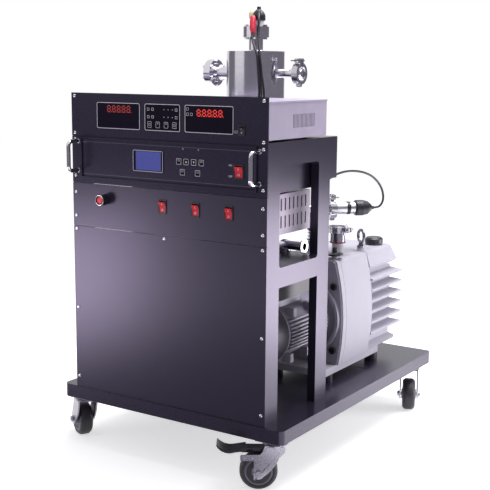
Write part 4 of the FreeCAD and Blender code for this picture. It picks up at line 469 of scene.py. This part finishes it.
sunk(screw, bar((CROSS_WIDE, CROSS_LONG, CROSS_DEEP), (0, 0, CROSS_LEVELS[1])))
heads = copies(screw, [(x, 0, z) for z in SCREW_ROWS for x in SCREW_COLUMNS] + [MIDDLE_SCREW],
               TO_FRONT)
socket_bolt = grown("socket_bolt", SOCKET_BOLT, 32)
bpy.ops.mesh.primitive_cylinder_add(
    vertices=6, radius=SOCKET_RADIUS / 1000, depth=SOCKET_LENGTH / 1000,
    location=(0, 0, (SOCKET_BOTTOM + SOCKET_LENGTH / 2) / 1000))
sunk(socket_bolt, bpy.context.object)
bolts = copies(socket_bolt, [(x, PUMP_FRONT, z) for x in BOLT_COLUMNS for z in BOLT_ROWS],
               TO_FRONT)
fit(joined("screw_heads", heads), bright_zinc, stands_for="screws_and_bolts")
fit(joined("pump_bolts", bolts), dark_steel, stands_for="screws_and_bolts")

# The gauge panel: three tinted windows behind printed frames, lit red numerals, status dots
# and four membrane keys. The printing is a thin raised layer of pale ink on the overlay.
INK = 0.14
WINDOW_FACE = -0.8
RAISED_FACE = 2 * WINDOW_FACE
WINDOWS = ((70, 182), (194.6, 281.7), (293.4, 406.3))
WINDOW_LOW, WINDOW_HIGH = 559.7, 612.3
STATUS_ROWS = (601.6, 586.8)
STATUS_DOTS, STATUS_BOXES = (242.8, 253.1, 263.4), (203.8, 214.6, 272.6)
GAUGE_KEYS, GAUGE_KEY_ROW = (207.3, 227.8, 248.3, 268.7), 571.6
UNIT_BOXES = ((299.8, 604.6), (299.8, 594.6), (309.2, 594.6))
POWER_MARK = (412, 0, 565)
LEFT_DIGITS, LEFT_DIGIT_ROW = [102.4 + 12.75 * index for index in range(5)], 599.7
RIGHT_DIGITS, RIGHT_DIGIT_ROW = [326.4 + 12.6 * index for index in range(5)], 597.8


def printed(width, height, corner_radius, line=0):
    """A printed patch or, with a line width, an outline, about its own middle."""
    return flat(-width / 2, width / 2, -height / 2, height / 2, corner_radius, INK, line=line)


def dot(radius, sides=16, turn=0, place=(0, 0)):
    """A printed dot or, with three sides, an arrowhead."""
    bpy.ops.object.select_all(action="DESELECT")
    bpy.ops.mesh.primitive_circle_add(
        vertices=sides, radius=radius / 1000, fill_type="NGON", rotation=(0, 0, turn),
        location=(place[0] / 1000, place[1] / 1000, 0))
    piece = bpy.context.object
    bpy.ops.object.transform_apply(location=True, rotation=True, scale=False)
    return worked(piece, "SOLIDIFY", thickness=INK / 1000, offset=1)


def numeral(width, height, stroke):
    """A seven-bar numeral with every bar lit, and its point."""
    half, thick, rounding = width / 2, stroke / 2, stroke * 0.45
    gap = stroke * 0.62
    bars = [flat(gap - half, half - gap, level - thick, level + thick, rounding, INK)
            for level in (-height / 2, 0, height / 2)]
    for side in (-half, half):
        for low, high in ((-height / 2, 0), (0, height / 2)):
            bars.append(flat(side - thick, side + thick, low + gap, high - gap, rounding, INK))
    bars.append(dot(stroke * 0.55, place=(half + stroke * 1.35, -height / 2)))
    return joined("numeral", bars)


pale_ink = finish("pale_ink", (0.62, 0.60, 0.68), rough=0.45, tone=0.06, grain=1500)
print_marks = [settle(flat(left, right, WINDOW_LOW, WINDOW_HIGH, 3.4, INK, line=1.15),
                      (0, WINDOW_FACE, 0), TO_FRONT) for left, right in WINDOWS]
print_marks += copies(dot(0.9),
                      [(x, WINDOW_FACE, z) for z in STATUS_ROWS for x in STATUS_DOTS],
                      TO_FRONT)
print_marks += copies(printed(5.4, 5.4, 0.7, line=0.7),
                      [(x, WINDOW_FACE, z) for z in STATUS_ROWS for x in STATUS_BOXES],
                      TO_FRONT)
print_marks += copies(printed(9.8, 12, 1.4, line=0.6),
                      [(x, RAISED_FACE, GAUGE_KEY_ROW) for x in GAUGE_KEYS], TO_FRONT)
print_marks += copies(printed(4.8, 4.8, 0.8, line=0.6),
                      [(x, RAISED_FACE, GAUGE_KEY_ROW) for x in GAUGE_KEYS[::3]], TO_FRONT)
print_marks += [settle(dot(1.7, 3, turn), (x, RAISED_FACE, GAUGE_KEY_ROW + 2.4), TO_FRONT)
                for x, turn in zip(GAUGE_KEYS[1:3], (0, math.pi))]
print_marks += copies(printed(5.6, 5.6, 0.6, line=0.6),
                      [(x, WINDOW_FACE, z) for x, z in UNIT_BOXES], TO_FRONT)
print_marks.append(settle(printed(6, 4.4, 0.4, line=0.55), POWER_MARK, TO_FRONT))
fit(joined("gauge_print", print_marks), pale_ink)
lit_red = finish("lit_red", (0.60, 0.03, 0.02), rough=0.4, tone=0.12, grain=800,
                 Emission_Color=(1, 0.05, 0.03, 1), Emission_Strength=0.75)
dim_red = finish("dim_red", (0.30, 0.03, 0.03), rough=0.4, tone=0.12, grain=800,
                 Emission_Color=(0.8, 0.05, 0.04, 1), Emission_Strength=0.28)
left_row = copies(numeral(7.4, 12.2, 1.7),
                  [(x, WINDOW_FACE, LEFT_DIGIT_ROW) for x in LEFT_DIGITS], TO_FRONT)
right_row = copies(numeral(7.4, 11.8, 1.8),
                   [(x, WINDOW_FACE, RIGHT_DIGIT_ROW) for x in RIGHT_DIGITS], TO_FRONT)
fit(joined("numerals_left", left_row), dim_red)
fit(joined("numerals_right", right_row), lit_red)

# The controller panel: a framed blue screen, six outlined membrane keys and two small lamps
# inside a thin lighter outline, a painted highlight for the lit edge of the raised bezel,
# and bar handles of bent bright rod with a foot at either end.
TOP_KEYS, TOP_ROW = (278.6, 296.3, 314.5, 332.8), 502.5
LOW_KEYS, LOW_ROW = (287.5, 323.8), 482
PANEL_LAMPS = ((288, 0, 527), (325, 0, 527))
screen_grey = finish("screen_grey", (0.34, 0.33, 0.40), rough=0.35, tone=0.08)
screen_blue = finish("screen_blue", (0.035, 0.040, 0.16), rough=0.16, tone=0.3, patch=12,
                     spread=0.02, Emission_Color=(0.15, 0.17, 0.62, 1),
                     Emission_Strength=0.30, Specular_IOR_Level=0.2)
# Painted highlight: this lighter grey stands for the lit edge of the raised bezel.
bezel_highlight_paint = finish("bezel_highlight_paint", (0.085, 0.075, 0.115), rough=0.4, tone=0.06)
screen_frame = settle(flat(164, 240, 477.4, 520.2, 3.2, INK, line=1.6), (0, RAISED_FACE, 0),
                      TO_FRONT)
fit(joined("screen_frame", [screen_frame]), screen_grey)
screen = settle(flat(171, 235, 480.4, 517.6, 0.8, 0.3), (0, WINDOW_FACE, 0), TO_FRONT)
fit(joined("screen", [screen]), screen_blue)
# The outline is a painted highlight standing for the raised bezel's lit edge, not print.
bezel_highlight = settle(flat(27, 455, 463.5, 530.8, 1.5, INK, line=0.8), (0, 0, 0), TO_FRONT)
fit(joined("painted_bezel_highlight", [bezel_highlight]), bezel_highlight_paint)
key_marks = copies(printed(11.8, 11.8, 1.3, line=0.7),
                   [(x, WINDOW_FACE, TOP_ROW) for x in TOP_KEYS]
                   + [(x, WINDOW_FACE, LOW_ROW) for x in LOW_KEYS], TO_FRONT)
key_marks += [settle(dot(2.6, 3, turn), (x, WINDOW_FACE, TOP_ROW + lift), TO_FRONT)
              for x, turn, lift in ((TOP_KEYS[1], 0, -0.4), (TOP_KEYS[2], math.pi, 0.4))]
key_marks += copies(printed(4.8, 3.2, 0.3, line=0.5),
                    [(x, WINDOW_FACE, TOP_ROW + 1.9) for x in TOP_KEYS[::3]]
                    + [(x, WINDOW_FACE, LOW_ROW + 1.8) for x in LOW_KEYS], TO_FRONT)
key_marks += copies(dot(1.1), PANEL_LAMPS, TO_FRONT)
fit(joined("key_marks", key_marks), pale_ink)
window_tint = finish("window_tint", (0.010, 0.008, 0.018), rough=0.12, spread=0.03,
                     Specular_IOR_Level=0.09)
chrome = finish("chrome", (0.72, 0.71, 0.75), rough=0.10, metal=1, tone=0.05, spread=0.04)
dress(window_tint, "display_windows")
dress(chrome, "controller_handles")

# Switches and the lit button: glossy red rocker keys in black housings, with the usual line
# and ring marks on their two leaning halves, and a red lens in a bright ring.
KEYS = {"fore_pump": (237.1, 410.0, 10.7, 1), "baking": (318.3, 410.0, 10.7, 1),
        "vent": (396.4, 410.0, 10.7, 1), "controller_power": (419.0, 490.8, 10.2, 1),
        "gauge_power": (424.9, 568.1, 6.4, 0.62)}
BUTTON = (88, -17.4, 413)
KEY_REST = Matrix.Rotation(math.radians(10), 3, "X")
KEY_PIN_DEPTH = 3
KEY_REACH = 4.58
KEY_DISH = 2
MARK_HEIGHT = 0.52


def words(text, x, z, size, face):
    """A caption printed in the panel's ink."""
    bpy.ops.object.select_all(action="DESELECT")
    bpy.ops.object.text_add(location=at(x, face, z), rotation=(math.pi / 2, 0, 0))
    piece = bpy.context.object
    piece.data.body = text
    piece.data.size = size / 1000
    piece.data.align_x = "CENTER"
    piece.data.align_y = "CENTER"
    piece.data.extrude = INK / 2000
    piece.data.resolution_u = 3
    bpy.ops.object.convert(target="MESH")
    bpy.ops.object.transform_apply(location=True, rotation=True, scale=True)
    return piece


def hoop(name, radius, thick, flatness=1.0, sides=10):
    """A ring: its round section, flattened where asked, spun about the axis."""
    bpy.ops.object.select_all(action="DESELECT")
    bpy.ops.mesh.primitive_circle_add(vertices=sides, radius=thick / 1000,
                                      location=(radius / 1000, 0, 0),
                                      rotation=(math.pi / 2, 0, 0))
    piece = bpy.context.object
    piece.name = name
    bpy.ops.object.transform_apply(location=True, rotation=True, scale=True)
    bpy.ops.object.mode_set(mode="EDIT")
    bpy.ops.mesh.select_all(action="SELECT")
    bpy.ops.transform.resize(value=(1, 1, flatness), center_override=(0, 0, 0))
    bpy.ops.mesh.spin(steps=48, angle=math.tau, center=(0, 0, 0), axis=(0, 0, 1))
    bpy.ops.mesh.select_all(action="SELECT")
    bpy.ops.mesh.remove_doubles(threshold=1e-6)
    bpy.ops.mesh.normals_make_consistent(inside=False)
    bpy.ops.object.mode_set(mode="OBJECT")
    bpy.ops.object.shade_smooth_by_angle(angle=math.radians(50))
    return piece


def line_mark(size):
    """The ON line of a key: a thin bar with its edges taken off."""
    piece = bar((0.95 * size, 4.2 * size, 0.24))
    bpy.ops.object.mode_set(mode="EDIT")
    bpy.ops.mesh.bevel(offset=0.00008, segments=2, affect="EDGES")
    bpy.ops.object.mode_set(mode="OBJECT")
    return piece


red_key = finish("red_key", (0.62, 0.018, 0.035), rough=0.24, tone=0.1, grain=400)
red_lens = finish("red_lens", (0.60, 0.018, 0.035), rough=0.16, tone=0.1, grain=400,
                  Emission_Color=(1, 0.06, 0.08, 1), Emission_Strength=0.12)
dress(black_nylon, "switch_bezels", "rocker_gauge_power")
dress(red_key, "rocker_fore_pump", "rocker_baking", "rocker_vent", "rocker_controller_power")
dress(red_lens, "power_button")
fit(joined("switch_words", [words("ON", 399.5, 501.5, 5.2, -0.05),
                            words("OFF", 399.5, 480.5, 5.2, -0.05)]), pale_ink)
fit(settle(hoop("button_rim", 10.2, 1.25), BUTTON, TO_FRONT), chrome)
mark_forms = {size: ((1, line_mark(size)),
                     (-1, hoop("ring_mark", 1.9 * size, 0.42 * size, flatness=0.5, sides=6)))
              for size in (1, 0.62)}
for place, (x, z, tall, size) in KEYS.items():
    marks = []
    for side, form in mark_forms[size]:
        out = KEY_REST @ Vector((0, -KEY_REACH, side * tall * MARK_HEIGHT))
        way = KEY_REST @ Vector((0, -tall, -KEY_DISH * side))
        marks.append(settle(again(form), Vector((x, KEY_PIN_DEPTH, z)) + out, way))
    fit(joined("marks_" + place, marks), pale_ink, "rocker_" + place)
dropped(*[form for forms in mark_forms.values() for side, form in forms])

# The instruments' cases: warm grey folded sheet for the gauge unit, dark sheet for the
# controller, and a vented pale box on the shelf.
case_paint = finish("case_paint", (0.40, 0.36, 0.47), rough=0.4, relief=0.03)
supply_paint = finish("supply_paint", (0.64, 0.55, 0.70), rough=0.42, relief=0.03)
dress(case_paint, "gauge_case")
dress(cabinet_paint, "controller_case")
dress(supply_paint, "power_supply_box")

# The sleeves behind the cases: tapered black rubber, moulded on each lead where it enters its
# plug, to take the bend.
SLEEVE = [(4.9, 0), (5.1, 0.6), (4.9, 3), (4.2, 7), (3.5, 12), (3.1, 18), (2.8, 20)]
SLEEVES = ((298, 235.6, 592), (286, 235.6, 592), (452, 257.6, 453))
fit(joined("lead_sleeves", copies(grown("sleeve", SLEEVE, 24), SLEEVES, TO_REAR)), black_nylon)

# The vacuum line: polished stainless steel tube and flanges, cast clamps with wing nuts, and
# the foreline gauge with its black band.
BAND = [(14.5, 0), (14.8, 0.4), (14.8, 8.1), (14.5, 8.5)]
polished = finish("polished", (0.66, 0.64, 0.70), rough=0.12, metal=1, tone=0.06, spread=0.04,
                  grain=300, relief=0.008)
brushed = finish("brushed", (0.66, 0.64, 0.70), rough=0.17, metal=1, tone=0.08, spread=0.06,
                 grain=220, relief=0.01, stretch=(1, 1, 14))
clamp_alloy = finish("clamp_alloy", (0.55, 0.54, 0.58), rough=0.24, metal=1, tone=0.12)
turbo_alloy = finish("turbo_alloy", (0.50, 0.49, 0.53), rough=0.34, metal=0.9, tone=0.1)
satin_steel = finish("satin_steel", (0.60, 0.59, 0.64), rough=0.30, metal=1, tone=0.06)
dress(brushed, "chamber_body")
dress(polished, "port_blanks", "ion_gauge_head", "foreline_tee", "foreline_bellows",
      "vent_valve")
dress(clamp_alloy, "kf_clamps")
dress(turbo_alloy, "turbo_housing", "turbo_rotor")
dress(satin_steel, "pirani_gauge")
dress(black_nylon, "pirani_plug")
fit(settle(grown("gauge_band", BAND), (394, 482, 368), (1, 1, 0)), black_nylon)

# The ion gauge's plug: a domed black cap with a cable elbow on a pale collar, a soft red boot
# on a side pin, and a small clear cap over the pilot lamp.
CAP = [(14.2, 0), (14.5, 0.8), (14.5, 9), (13.8, 12.6), (12, 16.4), (9.4, 20), (6.4, 22.6),
       (4.4, 24), (4.2, 29), (3, 30)]
BOOT = [(3.2, 0), (4, 2), (4.2, 4), (4.8, 4.4), (4.9, 6), (5.4, 6.4), (5.6, 8.4), (6.2, 9),
        (6.5, 14), (6.5, 29), (6.1, 35), (5.2, 39), (4.4, 40)]
LAMP_CAP = [(5.2, 0), (5.5, 0.8), (5.5, 10.6), (5, 13), (3.9, 15), (2.4, 15.9)]
ELBOW = [(4.1, 0), (4.1, 13), (3.7, 15), (3.3, 17.2)]
SPIGOT = [(3, 0), (3, 14.4), (2.4, 15)]
COLLAR = [(11, 0), (11.5, 0.5), (11.5, 12.1), (11, 12.6)]
GAUGE_AXIS = (249, 330)
ELBOW_WAY = (8.6, -13.4, -7)
BOOT_WAY = (-9, 16, 40)
pale_ceramic = finish("pale_ceramic", (0.66, 0.64, 0.70), rough=0.4, tone=0.05)
soft_red = finish("soft_red", (0.66, 0.022, 0.060), rough=0.38, tone=0.12, grain=500,
                  Subsurface_Weight=0.15)
clear_amber = finish("clear_amber", (0.86, 0.80, 0.45), rough=0.1, tone=0.05, spread=0.03,
                     Transmission_Weight=0.75)
fit(settle(grown("gauge_collar", COLLAR), (*GAUGE_AXIS, 772.2)), pale_ceramic)
cap = settle(grown("cap", CAP), (*GAUGE_AXIS, 785))
elbow = settle(grown("elbow", ELBOW, 24), (*GAUGE_AXIS, 808), ELBOW_WAY)
spigot = settle(grown("spigot", SPIGOT, 24), (249, 320, 793), TO_FRONT)
fit(joined("gauge_cap", [cap, elbow, spigot]), black_nylon,
    stands_for="ion_gauge_connector")
fit(settle(grown("gauge_boot", BOOT, 32), ION_LEAD_LOW[0], BOOT_WAY), soft_red,
    stands_for="ion_gauge_connector")
fit(settle(grown("lamp_cap", LAMP_CAP, 32), (229, 332, 790)), clear_amber,
    stands_for="ion_gauge_connector")

# The vane pump: white painted castings, black knobs and feet, a steel eye, and a red gasket
# under the exhaust adapter. Its front lip is the same white paint, coloured grey as painted
# shade where it faces the dark cabinet. Its motor is grey with a dark fan cowl.
EXHAUST_SEAT = (405, 425, 297.8)
pump_white = finish("pump_white", (0.46, 0.45, 0.51), rough=0.58, tone=0.04, relief=0.04,
                    Specular_IOR_Level=0.25)
# Painted shade: the front lip is white like the body, made grey because it lies in shade.
pump_grey = finish("pump_grey", (0.24, 0.22, 0.28), rough=0.40)
motor_grey = finish("motor_grey", (0.26, 0.24, 0.31), rough=0.40, relief=0.05)
cowl_grey = finish("cowl_grey", (0.040, 0.036, 0.05), rough=0.45)
dull_steel = finish("dull_steel", (0.20, 0.19, 0.235), rough=0.24, metal=0.9, tone=0.12)
gasket_red = finish("gasket_red", (0.28, 0.012, 0.035), rough=0.5)
dress(pump_white, "rv_pump_body")
# The motor bracket's grey is painted shade on the white front lip.
dress(pump_grey, "rv_motor_bracket")
dress(cowl_grey, "motor_fan_cowl")
dress(motor_grey, "motor_frame")
dress(black_nylon, "motor_terminal_box", "gas_ballast_knob", "oil_filler_cap", "rv_feet")
dress(zinc, "drive_rotor")
dress(dull_steel, "rv_lifting_eye", "rv_exhaust_port")
fit(settle(hoop("exhaust_gasket", 15.9, 2.1, flatness=0.85), EXHAUST_SEAT), gasket_red)

# The studio, in metres: a white floor that keeps the shadow, a pale room that only the view
# and the mirrors see at full strength, dark screens on the camera's side, and three soft boxes.
FLOOR = cad_box[0][2]
SCREEN_ANGLES = (-178, -158, -92, -70, -48, -26, -4, 18, 40, 62, 84)
SCREEN_DISTANCE = 3.4
SCREEN_HEIGHT = 0.9


def shown(tree, unseen, seen):
    """A strength for rays that show the background, from the view or a mirror, and the rest."""
    rays = tree.nodes.new("ShaderNodeLightPath")
    either = rays.outputs["Is Camera Ray"]
    for kind in ("Is Glossy Ray", "Is Transmission Ray"):
        more = tree.nodes.new("ShaderNodeMath")
        more.operation = "MAXIMUM"
        tree.links.new(either, more.inputs[0])
        tree.links.new(rays.outputs[kind], more.inputs[1])
        either = more.outputs["Value"]
    level = tree.nodes.new("ShaderNodeMapRange")
    level.inputs["To Min"].default_value = unseen
    level.inputs["To Max"].default_value = seen
    tree.links.new(either, level.inputs["Value"])
    return level.outputs["Result"]


def plain(name, colour, rough, glow):
    """A studio surface of one colour, and the socket for how strongly it glows."""
    material = bpy.data.materials.new(name)
    material.use_nodes = True
    shader = material.node_tree.nodes["Principled BSDF"]
    shader.inputs["Base Color"].default_value = colour
    shader.inputs["Roughness"].default_value = rough
    shader.inputs["Emission Color"].default_value = glow
    return material, shader.inputs["Emission Strength"]


def screen_cloth_on(name, place, size, turn=(0, 0, 0)):
    """A dark cloth that only the gloss of the object sees."""
    bpy.ops.mesh.primitive_plane_add(size=1, location=place, rotation=turn)
    cloth = bpy.context.object
    cloth.name = name
    cloth.scale = (*size, 1)
    bpy.ops.object.transform_apply(location=True, rotation=True, scale=True)
    cloth.data.materials.append(screen_cloth)
    cloth.visible_camera = False
    cloth.visible_diffuse = False
    cloth.visible_shadow = False


def lamp(name, place, target, wide, tall, power, tint):
    """A soft box: a rectangular lamp aimed at its target."""
    bpy.ops.object.light_add(type="AREA", location=place)
    light = bpy.context.object
    light.name = name
    light.data.shape = "RECTANGLE"
    light.data.size = wide
    light.data.size_y = tall
    light.data.energy = power
    light.data.color = tint
    light.visible_camera = False
    aim = Vector(target) - Vector(place)
    light.rotation_euler = aim.to_track_quat("-Z", "Y").to_euler()


floor_paint, floor_glow = plain("floor_paint", (0.92, 0.92, 0.93, 1), 0.8, (1, 1, 1, 1))
floor_paint.node_tree.links.new(shown(floor_paint.node_tree, 0.0, 0.56), floor_glow)
screen_cloth, cloth_glow = plain("screen_cloth", (0.03, 0.03, 0.035, 1), 0.9, (0.9, 0.85, 1, 1))
cloth_glow.default_value = 0.19
bpy.ops.mesh.primitive_plane_add(size=14, location=(0, 0, FLOOR))
floor = bpy.context.object
floor.name = "floor"
floor.data.materials.append(floor_paint)
for number, middle in enumerate(SCREEN_ANGLES):
    angle = math.radians(middle)
    screen_cloth_on("dark_screen_" + str(number),
                    (SCREEN_DISTANCE * math.cos(angle), SCREEN_DISTANCE * math.sin(angle),
                     SCREEN_HEIGHT), (1.36, 2.7), (math.pi / 2, 0, angle + math.pi / 2))
screen_cloth_on("dark_sill", (-1.405, -2.007, 0.36), (2.1, 0.72),
                (math.pi / 2, 0, math.radians(-35)))
screen_cloth_on("dark_mat", (-0.143, -0.95, FLOOR + 0.0005), (1.02, 1.1))
room = bpy.data.worlds.new("room")
bpy.context.scene.world = room
room.use_nodes = True
backdrop = room.node_tree.nodes["Background"]
backdrop.inputs["Color"].default_value = (1, 1, 1, 1)
room.node_tree.links.new(shown(room.node_tree, 0.42, 1.0), backdrop.inputs["Strength"])
lamp("soft_left", (-0.96, -1.12, 0.185), target=(-0.15, -0.33, 0.2), wide=0.40, tall=0.36,
     power=3.4, tint=(0.97, 0.92, 1))
lamp("soft_right", (0.84, 0.60, 0.22), target=(0.25, -0.16, 0.24), wide=0.42, tall=0.42,
     power=4.2, tint=(0.97, 0.92, 1))
lamp("soft_top", (0.42, 0.35, 2.3), target=(0.1, 0.05, 0.4), wide=1.5, tall=1.5,
     power=60, tint=(0.98, 0.96, 1))
